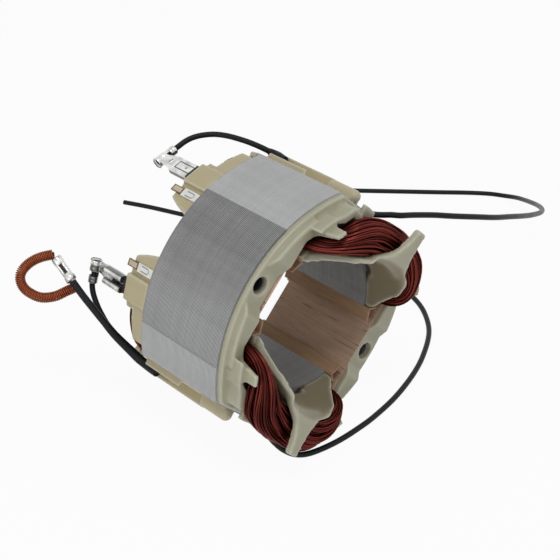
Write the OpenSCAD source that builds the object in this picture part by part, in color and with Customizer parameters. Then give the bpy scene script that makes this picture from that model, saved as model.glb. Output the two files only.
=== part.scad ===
// Wound stator: the two-pole field of a commutator motor, lying on its side with its leads on the bench.
// Inside place() x runs between the poles, y runs through them and z runs out of the front of the bore.

/* [Lamination stack] */
// Length of the stack along the bore
stack_l = 44; // [36:1:60]
// Radius of the two arcs that make the outline of a sheet
outline_r = 60.5; // [60:0.1:62]
// Distance of each arc's centre from the bore axis
outline_offset = 17; // [16:0.1:17.5]
// Distance of each flat from the bore axis
flat_d = 45; // [44:0.25:47]
// Radius of the rotor bore
bore_r = 29; // [28:0.1:29.4]
// Angle between the middle of a slot and the pole tips
tip_angle = 31; // [29:0.5:34]
// Half the width of a pole's neck
neck_half = 17; // [15:0.5:18]
// Radius of the curved back of a pole shoe
shoe_r = 29.7; // [29:0.1:30]
// Height of the centre of that curve over the bore axis
shoe_rise = 5; // [4:0.1:5.4]
// Radius of the round corners of the slots
slot_r = 38.8; // [38.6:0.1:40]
// Distance of the straight slot wall from the bore axis
slot_q = 32; // [31.5:0.1:33]
// Depth of the slots beside the necks
slot_d = 34.5; // [34:0.1:35.5]
// Depth of the two weld grooves
weld_depth = 0.5; // [0.2:0.1:1]

/* [Housing screws] */
// Distance of each screw hole from the bore axis
screw_q = 38.3; // [37.5:0.1:39]
// Radius of the hole through the sheets
screw_r = 2.75; // [2:0.05:3]
// Radius of the hole through the plastic
boss_hole_r = 3.4; // [3.1:0.1:3.6]
// Reach of a sheet past the middle of each screw hole
ear = 4.9; // [4.5:0.1:5]

/* [End frames] */
// Thickness of the flange on the stack
flange_t = 2.5; // [1.5:0.1:3.5]
// Step from the edge of a sheet to the edge of the flange
flange_step = 0.6; // [0.2:0.1:1]
// Height of the raised rim over the stack
rim_h = 5.5; // [4:0.1:7]
// Step from the edge of a sheet to the edge of the rim
rim_step = 1.8; // [1.2:0.1:2.4]
// Height of the outer wall over the stack
wall_h = 10; // [8:0.25:11]
// Step from the edge of a sheet to the outer wall
wall_step = 2.6; // [2:0.1:3]
// Thickness of the outer wall
wall_t = 2; // [1.5:0.1:2.4]
// Step from the edge of a sheet to the edge of the rear flange
rear_step = 3.2; // [2.8:0.1:3.6]
// Height of a coil former over the stack
former_h = 22.5; // [21:0.25:26]
// Thickness of a coil former
former_t = 2.2; // [1.6:0.1:2.4]
// Clearance of a former behind the pole face
former_step = 0.7; // [0.4:0.1:0.8]
// Distance of a horn's tip from the bore axis
horn_reach = 47.5; // [45:0.25:49]
// Half the width of a horn at its tip
horn_half = 2.4; // [1.8:0.1:4]
// Thickness of a horn
horn_t = 3; // [2:0.1:4]
// Lean of a horn away from the stack
horn_lean = 9; // [4:0.5:14]
// Height of a coil prong over the stack
prong_h = 16; // [13:0.25:18]

/* [Field coils] */
// Radius at which a coil side lies in its slot
coil_r = 35.7; // [35.5:0.05:35.9]
// Half the thickness of a coil side in its slot
coil_half_t = 2.2; // [1.5:0.05:2.3]
// Half the width of a coil side in its slot
coil_half_w = 8.2; // [6:0.1:8.4]
// Radius at the middle of an end turn
turn_r = 39.4; // [39.3:0.05:40]
// Half the thickness of an end turn
turn_half = 6.8; // [5:0.1:6.9]
// Height of an end turn's middle over the stack
turn_h = 13.7; // [13:0.1:13.8]
// Depth of the grooves between the strands
strand_depth = 0.5; // [0.1:0.05:0.8]

/* [Insulation] */
// Thickness of a slot liner
liner_t = 0.4; // [0.2:0.05:0.5]
// Reach of liners and wedges past the front of the stack
liner_over = 3; // [1:0.25:4]
// Reach of liners and wedges past the rear of the stack
liner_rear = 0.3; // [0:0.1:3]
// Thickness of a folded slot wedge
wedge_t = 0.7; // [0.4:0.05:1]
// Angle that a slot wedge covers below its pole tip
wedge_angle = 11; // [8:0.5:13]

/* [Terminals] */
// Angle of the two flag terminals round the outline's centre
flag_angle = 26.8; // [26:0.1:27.5]
// Angle of the two solder tabs round the outline's centre
tab_angle = 17; // [16.5:0.1:17.5]
// Width of a male blade
blade_w = 6.3; // [5.8:0.1:6.4]
// Thickness of a male blade
blade_t = 0.8; // [0.6:0.05:1]
// Thickness of the sheet of a receptacle
sheet_t = 0.4; // [0.3:0.05:0.5]
// Outer diameter of the flag leads and field leads
lead_d = 2.3; // [2:0.05:2.4]
// Outer diameter of the brush lead
brush_d = 2.9; // [2.3:0.05:3]

/* [Hidden] */
$fn = 96;

// Turn about the bore axis in which the stator lies, with its outline on the bench
lie_roll = 43.6;
// Gap between pieces that lie against each other
fit_gap = 0.1;
// A length that passes every edge of the object
far = 4 * outline_r;
// Overlap of shapes that are joined
lap = 0.2;

stack_top = stack_l / 2;
former_r = bore_r + former_step;

frame_front_colour = [0.85, 0.84, 0.74];
frame_rear_colour = [0.83, 0.77, 0.60];
copper_colour = [0.40, 0.11, 0.08];
board_colour = [0.66, 0.50, 0.36];
tin_colour = [0.80, 0.80, 0.79];
lead_colour = [0.10, 0.10, 0.11];

// Routes of the free leads in the frame of the bench, from the clips on
upper_field_lay = [
    [27.2, -27.3, 36.8], [30.2, -28.5, 36], [32.9, -30.4, 35.8], [36, -32.4, 35.2], [42, -33.8, 33.8],
    [51, -36, 31.4], [60, -38.3, 28.6], [72, -40, 24.6], [84, -39.9, 20], [96, -37.8, 15.2],
    [108, -34.4, 9.8], [119, -30.2, 4.5], [130, -25.4, -0.8], [142, -19.4, -6.7], [153, -12.6, -12.4],
    [164, -4.6, -18.4], [175, 4.6, -24.6], [185, 14.3, -30.6], [193.5, 23.6, -36], [201, 33.5, -41],
    [205.6, 42, -44.6], [206.6, 50, -47], [203.5, 57.5, -47.6], [196, 66, -47.6], [185, 76.8, -47.6],
    [170, 91.8, -47.6], [154.5, 107.3, -47.6], [142, 120, -47.6], [131, 131.2, -47.6]
];
lower_field_lay = [
    [-34.8, -27, -28.1], [-32.6, -27.6, -30.6], [-30.3, -28.8, -34], [-29.2, -30.6, -36.9],
    [-27.6, -32.3, -39.9], [-25.4, -34, -42.8], [-21.4, -35.6, -46], [-16.4, -37.4, -47.5],
    [-9, -39, -47.6], [0, -39.6, -47.6],
    [10, -39.1, -47.6], [20, -37.9, -47.6], [35.5, -34.5, -47.6], [52.5, -28.5, -47.6], [67, -21.3, -47.6],
    [82, -11, -47.6], [92, 0.5, -47.6], [98, 12, -47.6], [101.5, 26, -47.6], [102, 42, -47.6],
    [100, 60, -47.6], [95, 82, -47.6], [88, 105, -47.6], [80, 127, -47.6], [71.5, 148, -47.6],
    [64.5, 165, -47.6], [58.3, 177.7, -47.6]
];
upper_flag_lay = [
    [2.1, 57.9, 43.6], [5, 57.5, 44.8], [8.2, 56.5, 45.8], [11.6, 54.4, 46.5], [15.2, 51.3, 46.8],
    [18, 47.2, 46.7], [20.4, 43, 46.1], [22.7, 38.6, 45.2], [24.5, 34, 44.2], [25.75, 30.55, 43.25]
];
upper_sleeve_route = [[25.8, 30.4, 43.2], [26.8, 27.6, 42.4], [26.65, 24.6, 42.05], [26.4, 22, 41.75]];
lower_flag_lay = [
    [-44.7, 57.8, -2.9], [-45.7, 55.9, -5.6], [-46.6, 52.4, -8.9], [-46.6, 49.8, -11.9], [-46, 46.7, -15.8],
    [-44.4, 41.8, -20.6], [-42.4, 36.4, -24.1]
];
brush_route = [
    [-52.9, 59, 1.9], [-52, 54.2, -2.6], [-50.7, 48.5, -7.6], [-49, 43.2, -12.9], [-46.9, 38.8, -18],
    [-44.4, 35.4, -22]
];
lower_sleeve_route = [
    [-43.7, 35.6, -24], [-42.6, 31.6, -26.3], [-41.9, 28.2, -27.3], [-41.7, 25, -27.8],
    [-41.6, 21.8, -27.9]
];
spring_route = [
    [-54, 69.6, 10.1], [-58.1, 72.6, 9.1], [-61.8, 74.5, 7.4], [-65, 75.5, 4.8], [-66.8, 75, 2.2],
    [-67.2, 73.1, -0.7], [-66.1, 70.4, -2.9], [-63.4, 66.6, -4.6], [-59.2, 63, -4.2], [-55.2, 60.9, -2.6],
    [-51.6, 60.4, -2.2]
];

// Stack length and flat for which the routes are drawn
drawn_l = 44;
drawn_flat = 45;

// A point of the stator's own frame in the frame of the bench
function bench(q, d, z) =
    [q * cos(lie_roll) + d * sin(lie_roll), -z, d * cos(lie_roll) - q * sin(lie_roll)];

// Way that the flats of the two poles have moved since the routes were drawn
function flat_shift(side) = bench(0, side * (flat_d - drawn_flat), 0);
function carried(lay, shift) = [for (i = [0 : len(lay) - 1]) lay[i] + shift * (i + 1) / len(lay)];

// Moves a route with the front or the rear end of the stack
module with_front() {
    translate([0, (drawn_l - stack_l) / 2, 0]) children();
}

module with_rear() {
    translate([0, (stack_l - drawn_l) / 2, 0]) children();
}

// Puts the stator's own frame into the frame of the bench
module place() {
    rotate([0, lie_roll, 0]) rotate([90, 0, 0]) children();
}

// Repeats a shape at the lower pole
module lower() {
    mirror([0, 1, 0]) children();
}

// Repeats a shape at both poles
module both_poles() {
    children();
    lower() children();
}

// Repeats a shape on both sides of the pole axis
module both_sides() {
    children();
    mirror([1, 0, 0]) children();
}

// Sweeps round rings along a route
function unit(v) = v / norm(v);
function tangent(p, i) = unit(p[min(i + 1, len(p) - 1)] - p[max(i - 1, 0)]);
function square_to(n, t) = unit(n - (n * t) * t);
function ring_normals(p, i, n) =
    i == len(p) ? [] : let (m = square_to(n, tangent(p, i))) concat([m], ring_normals(p, i + 1, m));
function ring(c, n, b, r, sides) =
    [for (k = [0 : sides - 1]) c + r * (cos(360 * k / sides) * n + sin(360 * k / sides) * b)];
function side_faces(rings, sides, closed) = [
    for (i = [0 : rings - (closed ? 1 : 2)])
        for (k = [0 : sides - 1])
            let (a = i * sides, b = ((i + 1) % rings) * sides, m = (k + 1) % sides)
                each [[a + k, b + k, b + m], [a + k, b + m, a + m]]
];

module tube(p, r, sides) {
    n = ring_normals(p, 0, [0.21, 0.13, 1]);
    points = [for (i = [0 : len(p) - 1]) each ring(p[i], n[i], cross(tangent(p, i), n[i]), r, sides)];
    first = [for (k = [0 : sides - 1]) k];
    last = [for (k = [0 : sides - 1]) len(p) * sides - 1 - k];
    polyhedron(points, concat([first], side_faces(len(p), sides, false), [last]));
}

// Outline of one sheet, stepped in from its edge
module sheet_outline(step) {
    intersection() {
        translate([-outline_offset, 0]) circle(outline_r - step);
        translate([outline_offset, 0]) circle(outline_r - step);
        square([far, 2 * (flat_d - step)], center = true);
    }
}

// Sheet kept round both screw holes, inside the outline as drawn
module ears(step) {
    square([2 * (screw_q + ear - step), 2 * (ear - step)], center = true);
}

// Room inside the yoke, stepped in from its wall
module yoke_room(step) {
    intersection() {
        circle(slot_r - step);
        square([2 * (slot_q - step), 2 * (slot_d - step)], center = true);
    }
}

// Sector between the two tips of the upper pole
module pole_sector() {
    polygon([
        [0, 0], [far * cos(tip_angle), far * sin(tip_angle)], [0, far],
        [-far * cos(tip_angle), far * sin(tip_angle)]
    ]);
}

module pole() {
    translate([-neck_half, bore_r / 2]) square([2 * neck_half, slot_d]);
    intersection() {
        translate([0, shoe_rise]) circle(shoe_r);
        pole_sector();
    }
}

// The two slots with the coils' room, as cut from a sheet
module slots() {
    difference() {
        yoke_room(0);
        both_poles() pole();
    }
}

module screw_holes(r) {
    both_sides() translate([screw_q, 0]) circle(r);
}

weld_angles = [45, 225];

// Radius of the sheet's outline along a ray at one angle
function outline_at(a) =
    let (c = outline_offset * abs(cos(a))) sqrt(pow(outline_r, 2) - pow(outline_offset, 2) + c * c) - c;

// Sheets punched with two poles, stacked and welded along two grooves
module lamination_stack() {
    color([0.60, 0.61, 0.62])
        place()
            translate([0, 0, -stack_top])
                linear_extrude(stack_l)
                    difference() {
                        union() {
                            sheet_outline(0);
                            ears(0);
                        }
                        slots();
                        circle(bore_r);
                        screw_holes(screw_r);
                        for (a = weld_angles)
                            rotate(a) translate([outline_at(a), 0]) circle(weld_depth);
                    }
}

rail_w = 1.5;
rear_room = 2.2;
rear_room_d = 9.5;

// Edge of a flange, never narrower than a rail round the slots
module flange_outline(step) {
    sheet_outline(step);
    ears(step);
    yoke_room(-rail_w);
}

module flange_openings() {
    slots();
    circle(former_r);
    screw_holes(boss_hole_r);
}

// Flange on the front face of the stack
module front_flange() {
    linear_extrude(flange_t)
        difference() {
            flange_outline(flange_step);
            flange_openings();
        }
}

// Room beside the liners, where the rear flange is cut back
module rear_notch(step) {
    square([2 * (slot_q + rear_room + step), 2 * (rear_room_d + step)], center = true);
}

// Flange on the rear face of the stack
module rear_flange() {
    linear_extrude(flange_t)
        difference() {
            union() {
                flange_outline(rear_step);
                rear_notch(rail_w);
            }
            flange_openings();
            rear_notch(0);
        }
}

rim_reach = 31;
boss_half = 6.8;
boss_ramp = 5;

// Scoop over both screw bosses, with a ramp at each end
module boss_scoop() {
    translate([-far / 2, 0, 0])
        rotate([90, 0, 90])
            linear_extrude(far)
                polygon([
                    [-boss_half, flange_t], [boss_half, flange_t],
                    [boss_half + boss_ramp, rim_h + lap], [-boss_half - boss_ramp, rim_h + lap]
                ]);
}

// Raised rim beside each screw boss, with the boss sunk between its two ends
module rim() {
    difference() {
        linear_extrude(rim_h)
            difference() {
                intersection() {
                    sheet_outline(rim_step);
                    square([far, 2 * rim_reach], center = true);
                }
                yoke_room(0);
                screw_holes(boss_hole_r);
            }
        boss_scoop();
    }
}

wall_start = 27;
wall_gap = 17;

// Outer wall behind each coil, lowered over the middle of the flat
module outer_wall() {
    difference() {
        linear_extrude(wall_h)
            difference() {
                sheet_outline(wall_step);
                sheet_outline(wall_step + wall_t);
                square([far, 2 * wall_start], center = true);
            }
        translate([-wall_gap, -far, rim_h]) cube([2 * wall_gap, 2 * far, far]);
    }
}

former_tip_h = 4;
former_shoulder_q = 18;
former_shoulder_h = 17;
former_crown_q = 12;
pocket_half = 15;
pocket_h = 4;

// Curved wall that keeps the upper coil clear of the rotor, seen along the pole as a stepped arch
module former() {
    foot_q = former_r * cos(tip_angle);
    intersection() {
        difference() {
            cylinder(h = former_h, r = former_r + former_t);
            translate([0, 0, -lap]) cylinder(h = former_h + 2 * lap, r = former_r);
        }
        rotate([-90, 0, 0])
            mirror([0, 1, 0])
                linear_extrude(far)
                    polygon([
                        [-foot_q, 0], [foot_q, 0], [foot_q, former_tip_h],
                        [former_shoulder_q, former_shoulder_h], [former_crown_q, former_h],
                        [-former_crown_q, former_h], [-former_shoulder_q, former_shoulder_h],
                        [-foot_q, former_tip_h]
                    ]);
    }
}

// Undercut inside the foot of a former, open to the face of the stack
module pocket() {
    translate([0, 0, -lap])
        intersection() {
            cylinder(h = pocket_h + lap, r = former_r + former_t / 2);
            translate([-pocket_half, 0, 0]) cube([2 * pocket_half, far, far]);
        }
}

horn_root_half = 9.5;
horn_steps = 12;
horn_chamfer = 0.6;

// Half the width of a horn at a share of its reach
function horn_width(u) = horn_half + (horn_root_half - horn_half) * pow(1 - u, 2);

// Horn that leans out from the crown of a former and keeps the coil on it
module horn() {
    reach = horn_reach - former_r;
    shares = [for (i = [0 : horn_steps]) i / horn_steps];
    right = [for (u = shares) [horn_width(u), u * (reach - horn_chamfer)]];
    left = [for (i = [horn_steps : -1 : 0]) [-horn_width(shares[i]), shares[i] * (reach - horn_chamfer)]];
    tip = [[horn_half - horn_chamfer, reach], [horn_chamfer - horn_half, reach]];
    translate([0, former_r + lap, former_h])
        rotate([horn_lean, 0, 0])
            translate([0, 0, -horn_t]) linear_extrude(horn_t) polygon(concat(right, tip, left));
}

prong_root = [2.2, 7.6];
prong_tip = [1.6, 4.2];
prong_root_at = [28.5, 29];
prong_tip_at = [29.2, 30.3];
prong_turn = 33;

// Flat prong that stands on the flange and holds the outer side of a coil
module prong() {
    hull() {
        translate([prong_root_at[0], prong_root_at[1], flange_t])
            rotate(prong_turn) cube([prong_root[0], prong_root[1], 2 * lap], center = true);
        translate([prong_tip_at[0], prong_tip_at[1], prong_h - lap])
            rotate(prong_turn) cube([prong_tip[0], prong_tip[1], 2 * lap], center = true);
    }
}

// What both end frames share, standing on the face of the stack
module end_frame_body() {
    difference() {
        both_poles() former();
        both_poles() pocket();
    }
    outer_wall();
    both_poles() {
        horn();
        both_sides() prong();
    }
}

// Opens a flange where the formers are undercut
module with_pockets() {
    difference() {
        children();
        both_poles() pocket();
    }
}

clip_q = -12.7;
clip_w = 7;
clip_t = 2;
clip_reach = 0.8;
saddle_h = 6.2;
saddle_pad = 0.65;

// Saddle on the outer wall that a field lead lies on, with a lug in front of the lead
module lead_clip() {
    left = clip_q - clip_w / 2;
    wall_d = flat_d - wall_step;
    translate([left, wall_d - wall_t, flange_t - lap])
        cube([clip_w, wall_t + saddle_pad, saddle_h - flange_t + lap]);
    translate([left, wall_d - lap, saddle_h - lap])
        cube([clip_w, wall_step + clip_reach + lap, clip_t + lap]);
}

module front_end_frame() {
    color(frame_front_colour)
        place()
            translate([0, 0, stack_top]) {
                with_pockets() front_flange();
                rim();
                end_frame_body();
                both_poles() lead_clip();
            }
}

terminal_room = 19.6;

// Radius of the arc on which the terminals stand, at the sheet's edge and clear of the coils
terminal_r = max(outline_r, slot_r + terminal_room);

// Puts a shape on that arc on the left: x outwards from the arc, y along it
module on_arc(angle) {
    translate([outline_offset, 0, 0])
        rotate(180 - angle) translate([terminal_r, 0, 0]) children();
}

block_low = -4.8;
block_high = 6.2;
block_depth = 15.5;
block_outer = -2;
block_inner = -7;
blade_x = -4.2;
blade_back = -7;

// Terminal block, and the slot in it for the blade
module terminal_block() {
    translate([block_inner, block_low, -block_depth])
        cube([block_outer - block_inner, block_high - block_low, block_depth - flange_t + lap]);
}

module blade_slot() {
    translate([blade_x - blade_t / 2 - fit_gap, -blade_w / 2 - fit_gap, -far])
        cube([blade_t + 2 * fit_gap, blade_w + 2 * fit_gap, far + blade_back]);
}

holder_x = -3.6;
holder_inner = -8;
holder_depth = 15.5;
holder_inner_y = -2.6;
holder_outer_y = 7.6;
holder_step_y = 5.6;
holder_step = 10.5;
holder_end_y = 3.6;
tab_w = 3.6;
tab_t = 0.8;
tab_reach = 17.6;
tab_seat = 3;

// Holder beside the block, with a stepped side, for the solder tab
module tab_holder() {
    translate([holder_x, 0, 0])
        rotate([0, -90, 0])
            linear_extrude(holder_x - holder_inner)
                polygon([
                    [-flange_t + lap, holder_inner_y], [-holder_depth, holder_inner_y],
                    [-holder_depth, holder_end_y], [-holder_step, holder_step_y],
                    [-flange_t + lap, holder_outer_y]
                ]);
}

guide_q = -10;
guide_back = 11;
guide_root = 6;
guide_front = 42;
guide_w = 9;
guide_floor_t = 1.3;
guide_wall_t = 2.2;
guide_wall_h = 5.8;
guide_lip_h = 3.4;
guide_lip_t = 1.2;
guide_lip_back = 5;
guide_lip_front = 16;
guide_tube_r = 2.6;
guide_tube_start = 27;
guide_ramp = 25;

// Trough along the flat that takes a sleeve, running out into a closed tube
module lead_guide() {
    left = guide_q - guide_w / 2;
    tube_d = flat_d + guide_tube_r;
    root = flat_d - wall_step - wall_t;
    translate([left, flat_d, -guide_back])
        cube([guide_w, guide_floor_t, guide_back + guide_tube_start + lap]);
    translate([left, root, -guide_root]) cube([guide_w, flat_d + guide_floor_t - root, guide_root]);
    translate([left + guide_w - guide_wall_t, flat_d, 0])
        rotate([90, 0, 90])
            linear_extrude(guide_wall_t)
                polygon([
                    [0, -guide_back], [guide_wall_h, -guide_back], [guide_wall_h, guide_ramp],
                    [guide_tube_r, guide_front - guide_tube_r], [0, guide_front - guide_tube_r]
                ]);
    translate([left, flat_d, -guide_lip_back])
        cube([guide_lip_t, guide_lip_h, guide_lip_back + guide_lip_front]);
    translate([guide_q, tube_d, guide_tube_start]) {
        cylinder(h = guide_front - guide_tube_r - guide_tube_start, r = guide_tube_r);
        translate([0, 0, guide_front - guide_tube_r - guide_tube_start]) sphere(guide_tube_r, $fn = 32);
    }
    translate([guide_q - guide_tube_r, flat_d, guide_tube_start])
        cube([2 * guide_tube_r, guide_tube_r, guide_front - guide_tube_r - guide_tube_start]);
}

module rear_end_frame() {
    color(frame_rear_colour)
        place()
            translate([0, 0, -stack_top])
                difference() {
                    union() {
                        mirror([0, 0, 1]) {
                            with_pockets() rear_flange();
                            end_frame_body();
                        }
                        both_poles() {
                            on_arc(flag_angle) terminal_block();
                            on_arc(tab_angle) tab_holder();
                            lead_guide();
                        }
                    }
                    both_poles() on_arc(flag_angle) blade_slot();
                }
}

// Path of a coil as pairs: the way round the pole, then the height along the bore
turn_side = 27.6;
turn_corner = 14;
corner_steps = 6;
crown_steps = 6;
strands = 12;
turn_twist = 120;
swell_rate = 1.5;
corner_power = 0.8;
bundle_power = 0.85;

// Half the thickness that an end turn loses where the flats come in
pressed = min(0, flat_d - drawn_flat) / 2;

// Share of the way from the slot to the middle of an end turn
function eased(u) = u * u * (3 - 2 * u);
function swell(s) = eased(min(1, swell_rate * (1 - abs(s) / turn_side)));
function corner(i) = 90 * i / corner_steps;
function turn_half_path(side) = [
    for (i = [0 : corner_steps])
        [
            side * (turn_side - turn_corner * (1 - cos(corner(i)))),
            stack_top + turn_h * pow(sin(corner(i)), corner_power)
        ]
];
function reversed(v) = [for (i = [len(v) - 1 : -1 : 0]) v[i]];
function crown_path() = [
    for (i = [1 : crown_steps - 1])
        [(turn_side - turn_corner) * (1 - 2 * i / crown_steps), stack_top + turn_h]
];
function front_turn() = concat(turn_half_path(1), crown_path(), reversed(turn_half_path(-1)));
function rear_turn() = [for (p = front_turn()) [-p[0], -p[1]]];
function coil_path() = concat([[turn_side, 0]], front_turn(), [[-turn_side, 0]], rear_turn());

// A strand's place round the bundle, turned along each end turn
function turn_share(i, n) = min(1, max(0, (i % n - 1) / (n - 2)));
function coil_turned(i, n) = turn_twist * (i < n ? turn_share(i, n) : 1 - turn_share(i, n));
function radius_at(s) = coil_r + (turn_r + pressed - coil_r) * swell(s);
function on_former(p) =
    let (a = 90 - p[0] / coil_r * 180 / PI, r = radius_at(p[0])) [r * cos(a), r * sin(a), p[1]];
function rounded(c) = sign(c) * pow(abs(c), bundle_power);
function coil_ring(path, i) =
    let (
        count = len(path),
        s = path[i][0],
        here = on_former(path[i]),
        along = unit(on_former(path[(i + 1) % count]) - on_former(path[(i + count - 1) % count])),
        out = square_to([here[0], here[1], 0], along),
        across = cross(along, out),
        half_t = coil_half_t + (turn_half + pressed - coil_half_t) * swell(s),
        half_w = coil_half_w + (turn_half - coil_half_w) * swell(s),
        turned = coil_turned(i, count / 2)
    ) [
        for (k = [0 : 2 * strands - 1])
            let (a = 180 * k / strands + turned, groove = k % 2 == 0 ? 0 : strand_depth)
                here + (half_t - groove) * rounded(cos(a)) * out
                    + (half_w - groove) * rounded(sin(a)) * across
    ];

// Coil wound round the upper pole: sides in the slots, end turns over the formers
module field_coil() {
    path = coil_path();
    points = [for (i = [0 : len(path) - 1]) each coil_ring(path, i)];
    polyhedron(points, side_faces(len(path), 2 * strands, true));
}

module upper_field_coil() {
    color(copper_colour) place() field_coil();
}

module lower_field_coil() {
    color(copper_colour) place() lower() field_coil();
}

// Pressboard bent to the wall of the right slot
module slot_liner() {
    translate([0, 0, -stack_top - liner_rear])
        linear_extrude(stack_l + liner_rear + liner_over)
            intersection() {
                difference() {
                    yoke_room(fit_gap);
                    yoke_room(fit_gap + liner_t);
                }
                translate([neck_half + 1, -far]) square([far, 2 * far]);
            }
}

module left_slot_liner() {
    color(board_colour) place() mirror([1, 0, 0]) slot_liner();
}

module right_slot_liner() {
    color(board_colour) place() slot_liner();
}

wedge_back = 4;
wedge_sink = 0.3;

// Strip folded round the tip of the upper pole, closing the right slot
module slot_wedge() {
    face_r = bore_r + fit_gap + wedge_sink;
    low = tip_angle - wedge_angle;
    turn = [sin(tip_angle), -cos(tip_angle)];
    out = [cos(tip_angle), sin(tip_angle)];
    fold = face_r * out + fit_gap * turn;
    translate([0, 0, -stack_top - liner_rear])
        linear_extrude(stack_l + liner_rear + liner_over)
            polygon([
                fold, fold + wedge_back * out, fold + wedge_back * out + wedge_t * turn,
                fold + wedge_t * (out + turn), (face_r + wedge_t) * [cos(low), sin(low)],
                face_r * [cos(low), sin(low)]
            ]);
}

module upper_left_wedge() {
    color(board_colour) place() mirror([1, 0, 0]) slot_wedge();
}

module upper_right_wedge() {
    color(board_colour) place() slot_wedge();
}

module lower_left_wedge() {
    color(board_colour) place() lower() mirror([1, 0, 0]) slot_wedge();
}

module lower_right_wedge() {
    color(board_colour) place() lower() slot_wedge();
}

tab_shoulder = 11.5;
tab_tip_w = 2.8;

// Solder tab that lies on its holder, narrower at its free end
module solder_tab() {
    translate([0, 0, -stack_top])
        on_arc(tab_angle)
            translate([holder_x + tab_t, 0, 0])
                rotate([0, -90, 0])
                    linear_extrude(tab_t)
                        polygon([
                            [-tab_seat, -tab_w / 2], [-tab_shoulder, -tab_w / 2],
                            [-tab_shoulder, -tab_tip_w / 2], [-tab_reach, -tab_tip_w / 2],
                            [-tab_reach, tab_tip_w / 2], [-tab_shoulder, tab_tip_w / 2],
                            [-tab_shoulder, tab_w / 2], [-tab_seat, tab_w / 2]
                        ]);
}

module upper_solder_tab() {
    color(tin_colour) place() solder_tab();
}

module lower_solder_tab() {
    color(tin_colour) place() lower() solder_tab();
}

blade_tip = 25;
blade_chamfer = 1;

// Male blade that stands in its block
module blade() {
    translate([0, 0, -stack_top])
        on_arc(flag_angle)
            translate([blade_x + blade_t / 2, 0, 0])
                rotate([0, -90, 0])
                    linear_extrude(blade_t)
                        polygon([
                            [blade_back, -blade_w / 2], [blade_chamfer - blade_tip, -blade_w / 2],
                            [-blade_tip, blade_chamfer - blade_w / 2],
                            [-blade_tip, blade_w / 2 - blade_chamfer],
                            [blade_chamfer - blade_tip, blade_w / 2], [blade_back, blade_w / 2]
                        ]);
}

module upper_blade() {
    color(tin_colour) place() blade();
}

module lower_blade() {
    color(tin_colour) place() lower() blade();
}

flag_mouth = 16;
flag_end = 30;
barrel_z = 36;
barrel_l = 10;
barrel_y = -2;
curl_r = 1.3;
curl_inset = 2;
curl_slit = 0.8;
seat = 0.05;

// Receptacle folded from sheet: a floor on one face of the blade, curled edges on the other
// and a barrel across its end
module flag_receptacle(side) {
    floor_in = side * (blade_t / 2 + seat);
    floor_out = floor_in + side * sheet_t;
    half = blade_w / 2 + seat + sheet_t;
    barrel_in = lead_d / 2 + fit_gap;
    curl_x = -side * (blade_t / 2 + seat + curl_r);
    translate([0, 0, -stack_top])
        on_arc(flag_angle)
            translate([blade_x, 0, 0]) {
                translate([min(floor_in, floor_out), -half, -flag_end])
                    cube([sheet_t, 2 * half, flag_end - flag_mouth]);
                for (y = [-1, 1]) {
                    translate([0, y * (half - curl_r), -flag_end + curl_inset])
                        linear_extrude(flag_end - flag_mouth - curl_inset)
                            difference() {
                                union() {
                                    translate([curl_x, 0]) circle(curl_r);
                                    translate([min(curl_x, floor_out), y > 0 ? curl_r - sheet_t : -curl_r])
                                        square([abs(floor_out - curl_x), sheet_t]);
                                }
                                translate([curl_x, 0]) circle(curl_r - sheet_t);
                                translate([curl_x - side * curl_r / 3, -y * curl_r])
                                    square(curl_slit, center = true);
                            }
                }
                translate([min(floor_in, floor_out), -half / 2, -barrel_z - lap])
                    cube([sheet_t, half, barrel_z - flag_end + 2 * lap]);
                translate([floor_out - side * (barrel_in + sheet_t), barrel_y, -barrel_z])
                    rotate([90, 0, 0])
                        difference() {
                            cylinder(h = barrel_l, r = barrel_in + sheet_t, center = true);
                            cylinder(h = barrel_l + 2 * lap, r = barrel_in, center = true);
                        }
            }
}

module upper_flag_receptacle() {
    color(tin_colour) place() flag_receptacle(1);
}

module lower_flag_receptacle() {
    color(tin_colour) place() lower() flag_receptacle(-1);
}

lead_sides = 8;
sleeve_d = 3.8;
barrel_ends = [2.5, -6];
clip_run = [-15.8, -9.2];

// A point on the axis of a flag's barrel, before the stack's length is changed
function barrel_point(side, y) =
    let (
        x = terminal_r + blade_x + side * (blade_t / 2 + seat - lead_d / 2 - fit_gap),
        q = outline_offset - x * cos(flag_angle) - y * sin(flag_angle),
        d = x * sin(flag_angle) - y * cos(flag_angle)
    ) bench(q, side * d, -drawn_l / 2 - barrel_z);
function barrel_run(side) = [for (y = barrel_ends) barrel_point(side, y)];

// A point of a field lead on its saddle, behind the lug
function clip_point(side, q) =
    bench(
        q, side * (flat_d - wall_step + saddle_pad + fit_gap + lead_d / 2),
        drawn_l / 2 + saddle_h - 2 * fit_gap - lap - lead_d / 2
    );
function clip_start(side) = [for (q = clip_run) clip_point(side, q)];

module upper_sleeve() {
    color(lead_colour)
        with_rear() translate(flat_shift(1)) tube(upper_sleeve_route, sleeve_d / 2, lead_sides);
}

module lower_sleeve() {
    color(lead_colour)
        with_rear() translate(flat_shift(-1)) tube(lower_sleeve_route, sleeve_d / 2, lead_sides);
}

module upper_flag_lead() {
    route = concat(barrel_run(1), carried(upper_flag_lay, flat_shift(1)));
    color(lead_colour) with_rear() tube(route, lead_d / 2, lead_sides);
}

module lower_flag_lead() {
    route = concat(barrel_run(-1), carried(lower_flag_lay, flat_shift(-1)));
    color(lead_colour) with_rear() tube(route, lead_d / 2, lead_sides);
}

module brush_lead() {
    color(lead_colour)
        with_rear() translate(flat_shift(-1)) tube(brush_route, brush_d / 2, lead_sides);
}

module upper_field_lead() {
    route = concat(clip_start(1), upper_field_lay);
    color(lead_colour) with_front() tube(route, lead_d / 2, lead_sides);
}

module lower_field_lead() {
    route = concat(clip_start(-1), lower_field_lay);
    color(lead_colour) with_front() tube(route, lead_d / 2, lead_sides);
}

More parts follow.
